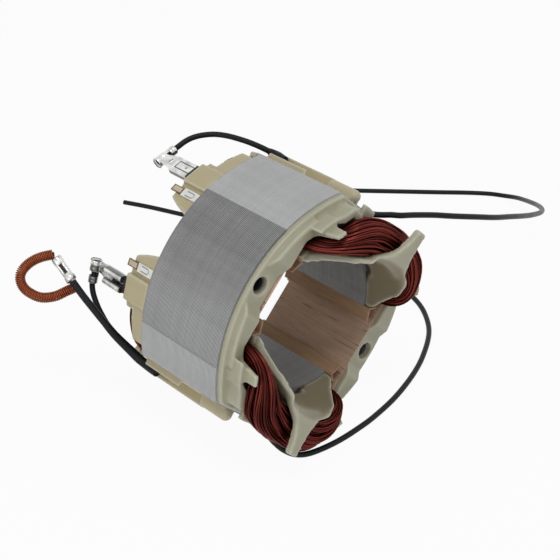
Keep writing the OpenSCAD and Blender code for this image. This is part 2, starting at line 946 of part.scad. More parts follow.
spring_r = 1.8;
spring_wire_r = 0.3;
spring_turns = 44;
spring_turn_points = 8;
spring_sides = 4;
spring_colour = [0.55, 0.26, 0.12];

// A point on a smooth curve through four points of a route
function blend(a, b, c, d, t) =
    b + t / 2 * (c - a) + t * t * (a - 2.5 * b + 2 * c - d / 2) + t * t * t * (1.5 * (b - c) + (d - a) / 2);
function on_route(p, u) =
    let (n = len(p) - 1, i = min(n - 1, floor(u * n)), t = u * n - i)
        blend(p[max(0, i - 1)], p[i], p[i + 1], p[min(n, i + 2)], t);

// Open spring wound from wire, bent round into a loop
module brush_spring() {
    count = spring_turns * spring_turn_points;
    axis = [for (i = [0 : count]) on_route(spring_route, i / count)];
    n = ring_normals(axis, 0, [0, 0, 1]);
    helix = [
        for (i = [0 : count])
            let (a = 360 * i / spring_turn_points, b = cross(tangent(axis, i), n[i]))
                axis[i] + spring_r * (cos(a) * n[i] + sin(a) * b)
    ];
    color(spring_colour)
        with_rear() translate(flat_shift(-1)) tube(helix, spring_wire_r, spring_sides);
}

crimp_start = [-53, 59.3, 2.2];
crimp_end = [-54, 67.8, 9.2];
crimp_r = 2.2;
crimp_sides = 12;

// Sheet sleeve crimped on the lead, with the spring hooked to its far end
module brush_crimp() {
    route = [crimp_start, (crimp_start + crimp_end) / 2, crimp_end];
    color(tin_colour) with_rear() translate(flat_shift(-1)) tube(route, crimp_r, crimp_sides);
}

lamination_stack();
front_end_frame();
rear_end_frame();
upper_field_coil();
lower_field_coil();
left_slot_liner();
right_slot_liner();
upper_left_wedge();
upper_right_wedge();
lower_left_wedge();
lower_right_wedge();
upper_solder_tab();
lower_solder_tab();
upper_blade();
lower_blade();
upper_flag_receptacle();
lower_flag_receptacle();
upper_sleeve();
lower_sleeve();
upper_flag_lead();
lower_flag_lead();
brush_lead();
brush_crimp();
brush_spring();
upper_field_lead();
lower_field_lead();
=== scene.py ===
import math

import bmesh
import bpy
import numpy as np
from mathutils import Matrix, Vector


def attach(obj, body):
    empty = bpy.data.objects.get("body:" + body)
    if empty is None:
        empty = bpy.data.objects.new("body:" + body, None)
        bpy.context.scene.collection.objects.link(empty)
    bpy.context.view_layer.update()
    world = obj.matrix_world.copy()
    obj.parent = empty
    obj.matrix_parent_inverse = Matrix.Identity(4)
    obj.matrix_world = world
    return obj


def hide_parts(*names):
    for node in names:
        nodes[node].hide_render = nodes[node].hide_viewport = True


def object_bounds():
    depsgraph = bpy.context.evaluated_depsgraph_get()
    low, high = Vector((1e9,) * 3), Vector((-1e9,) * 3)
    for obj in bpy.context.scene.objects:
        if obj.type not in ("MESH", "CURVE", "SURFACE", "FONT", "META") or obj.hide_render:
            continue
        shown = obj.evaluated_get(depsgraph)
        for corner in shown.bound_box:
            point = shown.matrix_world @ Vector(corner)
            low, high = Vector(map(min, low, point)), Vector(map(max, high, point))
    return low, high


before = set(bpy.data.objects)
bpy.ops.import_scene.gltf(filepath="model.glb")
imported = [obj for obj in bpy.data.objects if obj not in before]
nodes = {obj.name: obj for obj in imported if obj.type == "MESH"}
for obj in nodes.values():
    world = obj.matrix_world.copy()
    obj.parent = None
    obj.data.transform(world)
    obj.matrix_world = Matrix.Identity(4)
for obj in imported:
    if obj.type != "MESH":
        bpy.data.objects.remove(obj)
cad_low, cad_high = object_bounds()
scene = bpy.context.scene
scene.view_settings.view_transform = "Standard"

# The viewpoint: a long lens above and to the left of the stator, looking down into the front of the bore.
# It stands well back, so that the far leads are drawn nearly as large as the near ones.
viewpoint = bpy.data.cameras.new("viewpoint")
viewpoint.lens = 89.89
viewpoint.sensor_width = 36
viewpoint.clip_start = 0.01
viewpoint.clip_end = 20
camera = bpy.data.objects.new("viewpoint", viewpoint)
camera.location = (-0.3126, -0.3455, 0.2835)
camera.rotation_mode = "QUATERNION"
camera.rotation_quaternion = Vector((0.58096, 0.63422, -0.51015)).to_track_quat("-Z", "Y")
scene.collection.objects.link(camera)
scene.camera = camera

# The two long field leads: stranded copper in black rubber, each tied in a clip on the front frame.
# They are cut off bare, and from the clips on they hang down and lie along the bench.
MM = 0.001
LEAD_R = 1.15 * MM
LEAD_SIDES = 20
ROUTE_STEPS = 8
CORE_RIM = 0.42
CORE_SUNK = 0.25


class Value:
    """A socket that carries a number; arithmetic on it adds Math nodes to its tree."""

    def __init__(self, tree, socket):
        self.tree = tree
        self.socket = socket

    def maths(self, operation, *numbers):
        return self.tree.node("ShaderNodeMath", {"operation": operation}, dict(enumerate(numbers)))

    def __add__(self, other):
        return self.maths("ADD", self, other)

    def __sub__(self, other):
        return self.maths("SUBTRACT", self, other)

    def __rsub__(self, other):
        return self.maths("SUBTRACT", other, self)

    def __mul__(self, other):
        return self.maths("MULTIPLY", self, other)

    def __truediv__(self, other):
        return self.maths("DIVIDE", self, other)

    def __pow__(self, other):
        return self.maths("POWER", self, other)

    def __abs__(self):
        return self.maths("ABSOLUTE", self)

    __radd__ = __add__
    __rmul__ = __mul__

    def past(self, edge, width):
        """0 below the edge and 1 above it, turning smoothly over the width."""
        return self.tree.node(
            "ShaderNodeMapRange", {"interpolation_type": "SMOOTHSTEP"},
            {"Value": self, "From Min": edge - width / 2, "From Max": edge + width / 2},
        )


class Tree:
    """A node tree that is being made."""

    def __init__(self, tree):
        self.tree = tree
        tree.nodes.clear()

    def node(self, kind, settings, sockets, out=0):
        """Adds a node, sets it up, then fills its sockets with values or links."""
        made = self.tree.nodes.new(kind)
        for name, setting in settings.items():
            setattr(made, name, setting)
        for name, value in sockets.items():
            if isinstance(name, str):
                socket = next(s for s in made.inputs if s.name == name and s.enabled)
            else:
                socket = made.inputs[name]
            if isinstance(value, Value):
                self.tree.links.new(value.socket, socket)
            else:
                socket.default_value = value
        if isinstance(out, tuple):
            return [Value(self, made.outputs[name]) for name in out]
        if isinstance(out, str):
            return Value(self, next(s for s in made.outputs if s.name == out and s.enabled))
        return Value(self, made.outputs[out]) if made.outputs else made


class Finish(Tree):
    """One procedural material, read on Object coordinates."""

    def __init__(self, name):
        self.material = bpy.data.materials.new(name)
        self.material.use_nodes = True
        super().__init__(self.material.node_tree)
        self.spot = self.node("ShaderNodeTexCoord", {}, {}, "Object")

    def axes(self):
        return [self.node("ShaderNodeSeparateXYZ", {}, {0: self.spot}, k) for k in range(3)]

    def noise(self, scale, stretch=(1, 1, 1), detail=3.0):
        """Fine unevenness, with its scale per metre and stretched along the axes."""
        at = self.node("ShaderNodeMapping", {}, {"Vector": self.spot, "Scale": stretch})
        return self.node("ShaderNodeTexNoise", {}, {"Vector": at, "Scale": scale, "Detail": detail})

    def mix(self, share, low, high):
        low = low if isinstance(low, Value) else (*low, 1)
        high = high if isinstance(high, Value) else (*high, 1)
        return self.node(
            "ShaderNodeMix", {"data_type": "RGBA"}, {"Factor": share, "A": low, "B": high}, "Result"
        )

    def bump(self, height, distance):
        return self.node(
            "ShaderNodeBump", {}, {"Height": height, "Distance": distance, "Strength": 1.0}, "Normal"
        )

    def surface(self, sockets):
        shader = self.node("ShaderNodeBsdfPrincipled", {}, sockets)
        self.node("ShaderNodeOutputMaterial", {}, {"Surface": shader})
        return self.material


def lead_rubber():
    rubber = Finish("lead_rubber")
    scuff = rubber.noise(140, detail=5.0)
    grain = rubber.noise(1500)
    return rubber.surface({
        "Base Color": rubber.mix(scuff, (0.005, 0.006, 0.007), (0.016, 0.017, 0.020)),
        "Roughness": 0.24 + 0.30 * scuff,
        "Specular IOR Level": 0.16,
        "Normal": rubber.bump(grain + 0.5 * scuff, 0.00006),
    })


def tarnished(name, scale, detail, dark, light, metallic, roughness):
    """A finish with the same unevenness in its colour and its gloss."""
    finish = Finish(name)
    tarnish = finish.noise(scale, detail=detail)
    return finish.surface({
        "Base Color": finish.mix(tarnish, dark, light),
        "Metallic": metallic,
        "Roughness": roughness[0] + roughness[1] * tarnish,
    })


LEAD_RUBBER = lead_rubber()
STRAND_COPPER = tarnished(
    "strand_copper", 900, 3.0, (0.30, 0.10, 0.04), (0.62, 0.28, 0.15), 0.9, (0.32, 0.2)
)


def smooth_route(points, steps):
    """A smooth curve in metres through the points of a route in millimetres."""
    p = [Vector(c) * MM for c in points]
    route = []
    for i in range(len(p) - 1):
        a, b, c, d = p[max(0, i - 1)], p[i], p[i + 1], p[min(len(p) - 1, i + 2)]
        for k in range(steps):
            t = k / steps
            route.append(
                b + t / 2 * (c - a) + t * t * (a - 2.5 * b + 2 * c - d / 2)
                + t ** 3 * (1.5 * (b - c) + (d - a) / 2)
            )
    return route + [p[-1]]


def swept(route, radii, sides):
    """A closed tube along a route, as rings of vertices in a new mesh with flat ends."""
    mesh = bmesh.new()
    normal = Vector((0.21, 0.13, 1))
    rings = []
    for i, centre in enumerate(route):
        along = (route[min(i + 1, len(route) - 1)] - route[max(i - 1, 0)]).normalized()
        normal = (normal - normal.dot(along) * along).normalized()
        side = along.cross(normal)
        turns = [2 * math.pi * k / sides for k in range(sides)]
        rings.append([
            mesh.verts.new(centre + radii[i] * (math.cos(a) * normal + math.sin(a) * side)) for a in turns
        ])
    for low, high in zip(rings, rings[1:]):
        for k in range(sides):
            m = (k + 1) % sides
            mesh.faces.new((low[k], low[m], high[m], high[k]))
    ends = [mesh.faces.new(rings[0][::-1]), mesh.faces.new(rings[-1])]
    for face in mesh.faces:
        face.smooth = True
    mesh.normal_update()
    return mesh, ends


def piece_of(name, mesh, materials, replaced=()):
    """Makes a finished piece of a mesh: it rides on the body and stands for its CAD nodes."""
    if isinstance(mesh, bmesh.types.BMesh):
        data = bpy.data.meshes.new(name)
        mesh.to_mesh(data)
        mesh.free()
        mesh = data
    made = bpy.data.objects.new(name, mesh)
    scene.collection.objects.link(made)
    if materials:
        if mesh.materials:
            mesh.materials.clear()
        for material in materials:
            mesh.materials.append(material)
    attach(made, "root")
    if replaced:
        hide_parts(*replaced)
    return made


def sunk_end(mesh, face, rim, depth):
    """Leaves a rim round the end face of a tube and sinks the rest, which takes the second material."""
    bmesh.ops.inset_individual(mesh, faces=[face], thickness=rim)
    bmesh.ops.translate(mesh, vec=-face.normal * depth, verts=face.verts)
    face.material_index = 1


def covered_wire(name, route, radius, node, end_finish, slim=1.0):
    """Rubber tube with cut ends, sunk a little, that show an end finish: bare copper strands on the leads,
    painted shade at the open ends of the sleeves; its first half may start slimmer.
    """
    half = len(route) / 2
    radii = [radius * (slim + (1 - slim) * min(1, i / half)) for i in range(len(route))]
    mesh, ends = swept(route, radii, LEAD_SIDES)
    for face in ends:
        face.smooth = False
        sunk_end(mesh, face, radius * CORE_RIM, radius * CORE_SUNK)
    return piece_of(name, mesh, [LEAD_RUBBER, end_finish], [node])


def route_length(route):
    return sum((b - a).length for a, b in zip(route, route[1:]))


UPPER_FIELD = [
    (21.4, -26.65, 40.8), (23.9, -26.65, 38.4),
    (27.2, -27.3, 36.8), (30.2, -28.5, 36), (32.9, -30.4, 35.8), (36, -32.4, 35.2), (42, -33.8, 33.8),
    (51, -36, 31.4), (60, -38.3, 28.6), (72, -40, 24.6), (84, -39.9, 20), (96, -37.8, 15.2),
    (108, -34.4, 9.8), (119, -30.2, 4.5), (130, -25.4, -0.8), (142, -19.4, -6.7), (153, -12.6, -12.4),
    (164, -4.6, -18.4), (175, 4.6, -24.6), (185, 14.3, -30.6), (193.5, 23.6, -36), (201, 33.5, -41),
    (205.6, 42, -44.6), (206.6, 50, -47), (203.5, 57.5, -47.6), (196, 66, -47.6), (185, 76.8, -47.6),
    (170, 91.8, -47.6), (154.5, 107.3, -47.6), (142, 120, -47.6), (131, 131.2, -47.6),
]
LOWER_FIELD = [
    (-39.7, -26.65, -23.3), (-37.2, -26.65, -25.7),
    (-34.8, -27, -28.1), (-32.6, -27.6, -30.6), (-30.3, -28.8, -34), (-29.2, -30.6, -36.9),
    (-27.6, -32.3, -39.9), (-25.4, -34, -42.8), (-21.4, -35.6, -46), (-16.4, -37.4, -47.5),
    (-9, -39, -47.6), (0, -39.6, -47.6),
    (10, -39.1, -47.6), (20, -37.9, -47.6), (35.5, -34.5, -47.6), (52.5, -28.5, -47.6), (67, -21.3, -47.6),
    (82, -11, -47.6), (92, 0.5, -47.6), (98, 12, -47.6), (101.5, 26, -47.6), (102, 42, -47.6),
    (100, 60, -47.6), (95, 82, -47.6), (88, 105, -47.6), (80, 127, -47.6), (71.5, 148, -47.6),
    (64.5, 165, -47.6), (58.3, 177.7, -47.6),
]
for name, points in (("upper_field_lead", UPPER_FIELD), ("lower_field_lead", LOWER_FIELD)):
    route = smooth_route(points, ROUTE_STEPS)
    lead = covered_wire(name + "_cable", route, LEAD_R, name, STRAND_COPPER)
    route_length(route)

# The brush contact: a loop of close-wound copper spring hooked into a tinned crimp on a short lead.
# The lead comes out of the lower guide, and the loop hangs free behind the lower terminal.
BRUSH_R = 1.45 * MM
BRUSH_STEPS = 10
BRUSH_ROUTE = [
    (-52.9, 59, 1.9), (-52, 54.2, -2.6), (-50.7, 48.5, -7.6), (-49, 43.2, -12.9), (-46.9, 38.8, -18),
    (-44.4, 35.4, -22),
]
SPRING_ROUTE = [
    (-54, 69.6, 10.1), (-58.1, 72.6, 9.1), (-61.8, 74.5, 7.4), (-65, 75.5, 4.8), (-66.8, 75, 2.2),
    (-67.2, 73.1, -0.7), (-66.1, 70.4, -2.9), (-63.4, 66.6, -4.6), (-59.2, 63, -4.2), (-55.2, 60.9, -2.6),
    (-51.6, 60.4, -2.2),
]
SPRING_STEPS = 12
SPRING_TURNS = 66
POINTS_A_TURN = 16
SPRING_R = 1.78 * MM
SPRING_WIRE_R = 0.33 * MM
SPRING_WIRE_SIDES = 8
CRIMP_ENDS = [Vector((-53, 59.3, 2.2)) * MM, Vector((-54, 67.8, 9.2)) * MM]
CRIMP_PROFILE = [
    (0, 2.1), (0.02, 2.25), (0.18, 2.25), (0.22, 1.98), (0.30, 1.92), (0.40, 1.95), (0.50, 1.95),
    (0.60, 1.95), (0.72, 1.98), (0.78, 2.15), (0.96, 2.2), (1, 2.05),
]
CRIMP_SIDES = 28
CRIMP_RIM = 0.5 * MM
CRIMP_SUNK = 0.8 * MM
CRIMP_WINDOW = (0.30, 0.72)
WINDOW_SIDE = Vector((-0.581, -0.634, 0.510))
WINDOW_FACING = 0.82
WINDOW_RIM = 0.12 * MM
WINDOW_DEEP = 0.45 * MM


def plated(name, darker, bright):
    tin = Finish(name)
    smear = tin.noise(260, detail=5.0)
    scratch = tin.noise(700, (1, 0.12, 1))
    return tin.surface({
        "Base Color": tin.mix(smear.past(0.5, 0.36), darker, bright),
        "Metallic": 0.95,
        "Roughness": 0.14 + 0.26 * smear,
        "Normal": tin.bump(scratch + 0.6 * smear, 0.00008),
    })


# Partly painted reflection: the crimp tin's dark smear patches stand in for the dark surroundings that
# bright tin would mirror.
BRIGHT_TIN = plated("bright_tin", (0.26, 0.26, 0.25), (0.80, 0.80, 0.78))
SPRING_WIRE = tarnished(
    "spring_wire", 420, 4.0, (0.15, 0.032, 0.010), (0.37, 0.10, 0.038), 0.8, (0.28, 0.22)
)
# A near-black finish that is painted shade, put where only shade would be seen: the crimp's window, the
# insides of the flags' rolled edges, their mouths and the sleeves' open ends.
PAINTED_SHADE = tarnished(
    "dark_gap", 500, 3.0, (0.012, 0.011, 0.010), (0.05, 0.045, 0.04), 0.0, (0.7, 0.2)
)


def geometry_tree(name, taken, sizes, result):
    """An empty geometry tree with its sockets: what it takes, its sizes and what it makes."""
    group = bpy.data.node_groups.new(name, "GeometryNodeTree")
    sockets = group.interface
    sockets.new_socket(taken, in_out="INPUT", socket_type="NodeSocketGeometry")
    inputs = {
        size: sockets.new_socket(size, in_out="INPUT", socket_type="NodeSocket" + kind).identifier
        for size, kind in sizes.items()
    }
    sockets.new_socket(result, in_out="OUTPUT", socket_type="NodeSocketGeometry")
    tree = Tree(group)
    given = {size: tree.node("NodeGroupInput", {}, {}, size) for size in [taken, *inputs]}
    return tree, given, inputs


def round_wire(tree, given, line, sides, caps, result):
    """Ends a tree with round wire along its lines."""
    profile = tree.node(
        "GeometryNodeCurvePrimitiveCircle", {}, {"Resolution": sides, "Radius": given["Wire Radius"]}
    )
    wire = tree.node(
        "GeometryNodeCurveToMesh", {}, {"Curve": line, "Profile Curve": profile, "Fill Caps": caps}
    )
    wire = tree.node("GeometryNodeRealizeInstances", {}, {"Geometry": wire})
    wire = tree.node("GeometryNodeSetMaterial", {}, {"Geometry": wire, "Material": given["Finish"]})
    tree.node("NodeGroupOutput", {}, {result: wire})


def moved_line(tree, line, steps):
    """Moves the points of a line by the sum of two steps, each a way and how far to go along it."""
    reach = [
        tree.node("ShaderNodeVectorMath", {"operation": "SCALE"}, {0: way, "Scale": size})
        for way, size in steps
    ]
    offset = tree.node("ShaderNodeVectorMath", {"operation": "ADD"}, {0: reach[0], 1: reach[1]})
    return tree.node("GeometryNodeSetPosition", {}, {"Geometry": line, "Offset": offset})


def spring_tree():
    """Winds a wire round a path as an open spring."""
    tree, given, inputs = geometry_tree("wire_wound_round_a_path", "Path", {
        "Turns": "Float", "Points": "Int", "Spring Radius": "Float", "Wire Radius": "Float",
        "Finish": "Material",
    }, "Spring")
    line = tree.node("GeometryNodeMeshToCurve", {}, {"Mesh": given["Path"]})
    line = tree.node("GeometryNodeResampleCurve", {}, {"Curve": line, "Count": given["Points"]})
    along = tree.node("GeometryNodeSplineParameter", {}, {}, "Factor")
    angle = along * given["Turns"] * (2 * math.pi)
    normal = tree.node("GeometryNodeInputNormal", {}, {}, "Normal")
    tangent = tree.node("GeometryNodeInputTangent", {}, {}, "Tangent")
    side = tree.node("ShaderNodeVectorMath", {"operation": "CROSS_PRODUCT"}, {0: tangent, 1: normal})
    helix = moved_line(tree, line, [
        (way, angle.maths(turn, angle) * given["Spring Radius"])
        for way, turn in ((normal, "COSINE"), (side, "SINE"))
    ])
    round_wire(tree, given, helix, SPRING_WIRE_SIDES, True, "Spring")
    return tree.tree, inputs


def path_mesh(name, points, closed, fields=()):
    """Edges through points, with vector or number fields on the points."""
    mesh = bpy.data.meshes.new(name)
    count = len(points)
    edges = [(i, (i + 1) % count) for i in range(count if closed else count - 1)]
    mesh.from_pydata(points, edges, [])
    for field, kind, values in fields:
        layer = mesh.attributes.new(field, kind, "POINT")
        key = "vector" if kind == "FLOAT_VECTOR" else "value"
        flat = [c for v in values for c in v] if key == "vector" else values
        layer.data.foreach_set(key, flat)
    return mesh


def made_plain(carrier):
    """The plain mesh, smooth all over, that a carrier's modifier makes; the carrier is removed."""
    depsgraph = bpy.context.evaluated_depsgraph_get()
    made = bpy.data.meshes.new_from_object(carrier.evaluated_get(depsgraph), depsgraph=depsgraph)
    bpy.data.objects.remove(carrier)
    for polygon in made.polygons:
        polygon.use_smooth = True
    return made


def grown(name, mesh, tree_and_inputs, settings):
    """The plain mesh that a geometry tree makes on a path."""
    group, inputs = tree_and_inputs
    carrier = bpy.data.objects.new(name, mesh)
    scene.collection.objects.link(carrier)
    modifier = carrier.modifiers.new("grown", "NODES")
    modifier.node_group = group
    for key, value in settings.items():
        modifier[inputs[key]] = value
    return made_plain(carrier)


SPRING_TREE = spring_tree()
spring_line = path_mesh("brush_spring_line", smooth_route(SPRING_ROUTE, SPRING_STEPS), False)
brush_spring = piece_of(
    "brush_spring_coil",
    grown("spring_carrier", spring_line, SPRING_TREE, {
        "Turns": float(SPRING_TURNS), "Points": SPRING_TURNS * POINTS_A_TURN,
        "Spring Radius": SPRING_R, "Wire Radius": SPRING_WIRE_R, "Finish": SPRING_WIRE,
    }),
    [], ["brush_spring"],
)
crimp_route = [CRIMP_ENDS[0].lerp(CRIMP_ENDS[1], share) for share, _ in CRIMP_PROFILE]
crimp_mesh, crimp_ends = swept(crimp_route, [radius * MM for _, radius in CRIMP_PROFILE], CRIMP_SIDES)
for face in crimp_ends:
    sunk_end(crimp_mesh, face, CRIMP_RIM, CRIMP_SUNK)
crimp_run = CRIMP_ENDS[1] - CRIMP_ENDS[0]
# The window is sunk a little and takes painted shade, for the dark inside of the crimp.
window = []
for face in crimp_mesh.faces:
    share = (face.calc_center_median() - CRIMP_ENDS[0]).dot(crimp_run) / crimp_run.length_squared
    if CRIMP_WINDOW[0] < share < CRIMP_WINDOW[1] and face.normal.dot(WINDOW_SIDE) > WINDOW_FACING:
        window.append(face)
bmesh.ops.inset_region(crimp_mesh, faces=window, thickness=WINDOW_RIM, depth=-WINDOW_DEEP)
for face in window:
    face.material_index = 1
brush_crimp = piece_of(
    "brush_crimp_sleeve", crimp_mesh, [BRIGHT_TIN, PAINTED_SHADE], ["brush_crimp"]
)
brush_route = smooth_route(BRUSH_ROUTE[::-1], BRUSH_STEPS)
brush_lead = covered_wire("brush_lead_cable", brush_route, BRUSH_R, "brush_lead", STRAND_COPPER)
route_length(brush_route)

# The bench and the light: a white table in a plain bright room, under one large soft lamp, with a weaker
# one across from it and a low one at the left. The table keeps the object's shadow.
FLOOR_Z = cad_low.z
BENCH_HALF = 6.0
BENCH_GLOW = 0.94
AMBIENT = 0.36


def seen_light(tree):
    """1 for the rays that show the background, straight or in a shiny surface."""
    kinds = ("Is Camera Ray", "Is Glossy Ray", "Is Transmission Ray")
    seen = sum(tree.node("ShaderNodeLightPath", {}, {}, kind) for kind in kinds)
    return seen.maths("MINIMUM", seen, 1.0)


def bench_white():
    white = Finish("bench_white")
    plain = white.node("ShaderNodeBsdfDiffuse", {}, {"Color": (0.93, 0.93, 0.93, 1)})
    glow = white.node("ShaderNodeEmission", {}, {"Color": (1, 1, 1, 1), "Strength": 1.0})
    shown = white.node("ShaderNodeMixShader", {}, {0: seen_light(white) * BENCH_GLOW, 1: plain, 2: glow})
    white.node("ShaderNodeOutputMaterial", {}, {"Surface": shown})
    return white.material


bench_data = bpy.data.meshes.new("bench")
bench_data.from_pydata(
    [(x * BENCH_HALF, y * BENCH_HALF, FLOOR_Z) for x, y in ((-1, -1), (1, -1), (1, 1), (-1, 1))],
    [], [(0, 1, 2, 3)],
)
bench_data.materials.append(bench_white())
bench = bpy.data.objects.new("bench", bench_data)
scene.collection.objects.link(bench)

room = bpy.data.worlds.new("room")
room.use_nodes = True
scene.world = room
room_tree = Tree(room.node_tree)
room_light = room_tree.node(
    "ShaderNodeBackground", {},
    {"Color": (1, 1, 1, 1), "Strength": AMBIENT + seen_light(room_tree) * (1 - AMBIENT)},
)
room_tree.node("ShaderNodeOutputWorld", {}, {"Surface": room_light})

for name, place, power, size in (
    ("key_lamp", (-0.25, -0.30, 1.1), 3.0, 0.4),
    ("fill_lamp", (0.9, -0.5, 0.7), 0.8, 0.9),
    ("low_lamp", (-0.75, -0.2, 0.16), 0.8, 0.35),
):
    lamp = bpy.data.lights.new(name, "AREA")
    lamp.energy = power
    lamp.size = size
    lamp_object = bpy.data.objects.new(name, lamp)
    lamp_object.location = place
    lamp_object.rotation_mode = "QUATERNION"
    lamp_object.rotation_quaternion = (-Vector(place)).to_track_quat("-Z", "Y")
    scene.collection.objects.link(lamp_object)

# The lamination stack: punched sheets of electrical steel, pressed together and welded along two grooves.
# The punched edges show as fine lines round the stack, crossed by faint tool marks along it.
LIE_ROLL = math.radians(43.6)
ROLL_COS, ROLL_SIN = math.cos(LIE_ROLL), math.sin(LIE_ROLL)
SHEET_T = 0.66 * MM
OUTER_FROM = 38 * MM
SCREW_Q = 38.3 * MM
HOLE_SHADE_R = 3.0 * MM
# Painted shade: a darker band round the outside of the stack starts here and ends at the weld seam, growing
# lighter towards the seam end as painted light.
SIDE_SHADE_FROM = math.radians(150.5)
WELD_SEAM = math.radians(225)
SIDE_SHADE_EASE_MIDDLE = math.radians(192)
SIDE_SHADE_EASE_WIDTH = math.radians(64)
FULL_TURN = 2 * math.pi


def stator_axes(finish):
    """The stator's own axes on a surface: between the poles, through the poles, out of the front."""
    x, y, z = finish.axes()
    return x * ROLL_COS - z * ROLL_SIN, x * ROLL_SIN + z * ROLL_COS, y * -1.0


def stack_steel():
    steel = Finish("stack_steel")
    q, d, out = stator_axes(steel)
    radius = (q * q + d * d) ** 0.5
    angle = d.maths("ARCTAN2", d, q)
    # Painted shade: faces nearer the axis than OUTER_FROM, in the bore and on the poles, are 0.35 darker
    # than the outside.
    outer = radius.past(OUTER_FROM, 2 * MM)
    sheet = out / SHEET_T
    lot = sheet.maths("FLOOR", sheet)
    each = steel.node("ShaderNodeTexWhiteNoise", {"noise_dimensions": "1D"}, {"W": lot}, "Value")
    across = sheet.maths("FRACT", sheet)
    joint = abs(across - 0.5).past(0.30, 0.3)
    streak = steel.noise(420, (1, 0.03, 1), 4.0)
    cloud = steel.noise(55, (1, 0.6, 1), 4.0)
    speckle = steel.noise(2600)
    turned = (angle + FULL_TURN).maths("MODULO", angle + FULL_TURN, FULL_TURN)
    # Painted shade on the outside from 150.5 degrees to the weld seam, eased lighter towards the seam end
    # as painted light.
    side_shade = turned.past(SIDE_SHADE_FROM, 0.012) * (1.0 - turned.past(WELD_SEAM, 0.012))
    side_shade_eased = turned.past(SIDE_SHADE_EASE_MIDDLE, SIDE_SHADE_EASE_WIDTH)
    seam = 1.0 - abs(turned - WELD_SEAM).past(0.008, 0.008)
    # Painted shade: the steel round the screw holes and their walls is darkened by 0.4.
    hole = ((abs(q) - SCREW_Q) ** 2.0 + d * d) ** 0.5
    hole_shade = 1.0 - hole.past(HOLE_SHADE_R, 0.4 * MM)
    tone = (
        0.41 + 0.12 * (streak - 0.5) + 0.14 * (cloud - 0.5) + 0.05 * (each - 0.5)
        + 0.14 * (speckle - 0.5) + outer * (0.35 - side_shade * (0.33 - 0.18 * side_shade_eased) - 0.08 * seam)
        - joint * (0.14 + 0.28 * outer) - 0.4 * hole_shade
    )
    return steel.surface({
        "Base Color": steel.mix(tone, (0.035, 0.035, 0.036), (0.72, 0.725, 0.73)),
        "Metallic": 0.55,
        "Roughness": 0.42 + 0.2 * cloud,
        "Normal": steel.bump(each * 0.4 - joint + 0.35 * streak + 0.2 * speckle, 0.00009),
    })


def dress(node, material):
    """Gives a CAD node that stays as it is its own finish."""
    nodes[node].data.materials.clear()
    nodes[node].data.materials.append(material)


dress("lamination_stack", stack_steel())

# The slot liners: brown pressboard bent to the slot walls, pushed in from the front before winding.
# Its fibres run along the slot, with darker flecks where the board was rolled.


def fibre_board(name, dark, mid, light, fleck_share):
    board = Finish(name)
    fibre = board.noise(900, (1, 0.06, 1), 4.0)
    cloud = board.noise(90, (1, 0.35, 1), 3.0)
    fleck = board.noise(1100, (1, 0.055, 1), 1.0).past(0.70, 0.16)
    felt = board.noise(2400)
    shade = board.mix(0.75 * fibre + 1.1 * cloud + 1.0 * felt - 0.9, mid, light)
    return board.surface({
        "Base Color": board.mix(fleck * fleck_share, shade, dark),
        "Roughness": 0.62 + 0.25 * felt,
        "Specular IOR Level": 0.25,
        "Normal": board.bump(fibre + 0.6 * felt, 0.00010),
    })


PRESSBOARD = fibre_board(
    "pressboard", (0.25, 0.13, 0.06), (0.49, 0.325, 0.225), (0.88, 0.64, 0.48), 0.7
)
for side in ("left", "right"):
    dress(f"{side}_slot_liner", PRESSBOARD)

# The field coils: many turns of enamelled copper wire, wound as one bundle round each pole.
# The sides lie flat in the slots; over the formers the bundle is round, and its strands twist and cross.
STACK_TOP = 22.0
TURN_SIDE = 27.6
TURN_CORNER = 14.0
TURN_H = 13.7
TURN_R = 39.4
TURN_HALF = 6.8
COIL_R = 35.7
COIL_HALF_T = 2.2
COIL_HALF_W = 8.2
CORNER_POWER = 0.8
SWELL_RATE = 1.8
REAR_SWELL_RATE = 1.25
FRONT_LIFT = 1.2
TURN_TWIST = math.radians(120)
BUNDLE_POWER = 0.85
WIRE_R = 0.44 * MM
WIRE_SIDES = 7
WANDER_SCALE = 75.0
STRAND_STEP = 7.31
LAYER_SEEDS = 40
CORNER_STEPS = 16
CROWN_STEPS = 14
SLOT_STEPS = 5


def bench_place(q, d, z):
    """A point or a way of the stator's own frame, in millimetres, in the frame of the bench."""
    return Vector((q * ROLL_COS + d * ROLL_SIN, -z, d * ROLL_COS - q * ROLL_SIN))


def end_turn():
    """The way round the pole and the height along the bore, over one end of the stack."""
    corner = [math.radians(90 * i / CORNER_STEPS) for i in range(CORNER_STEPS + 1)]
    rise = [
        (TURN_SIDE - TURN_CORNER * (1 - math.cos(a)), STACK_TOP + TURN_H * math.sin(a) ** CORNER_POWER)
        for a in corner
    ]
    flat = TURN_SIDE - TURN_CORNER
    crown = [(flat * (1 - 2 * i / CROWN_STEPS), STACK_TOP + TURN_H) for i in range(1, CROWN_STEPS)]
    return rise + crown + [(-s, z) for s, z in reversed(rise)]


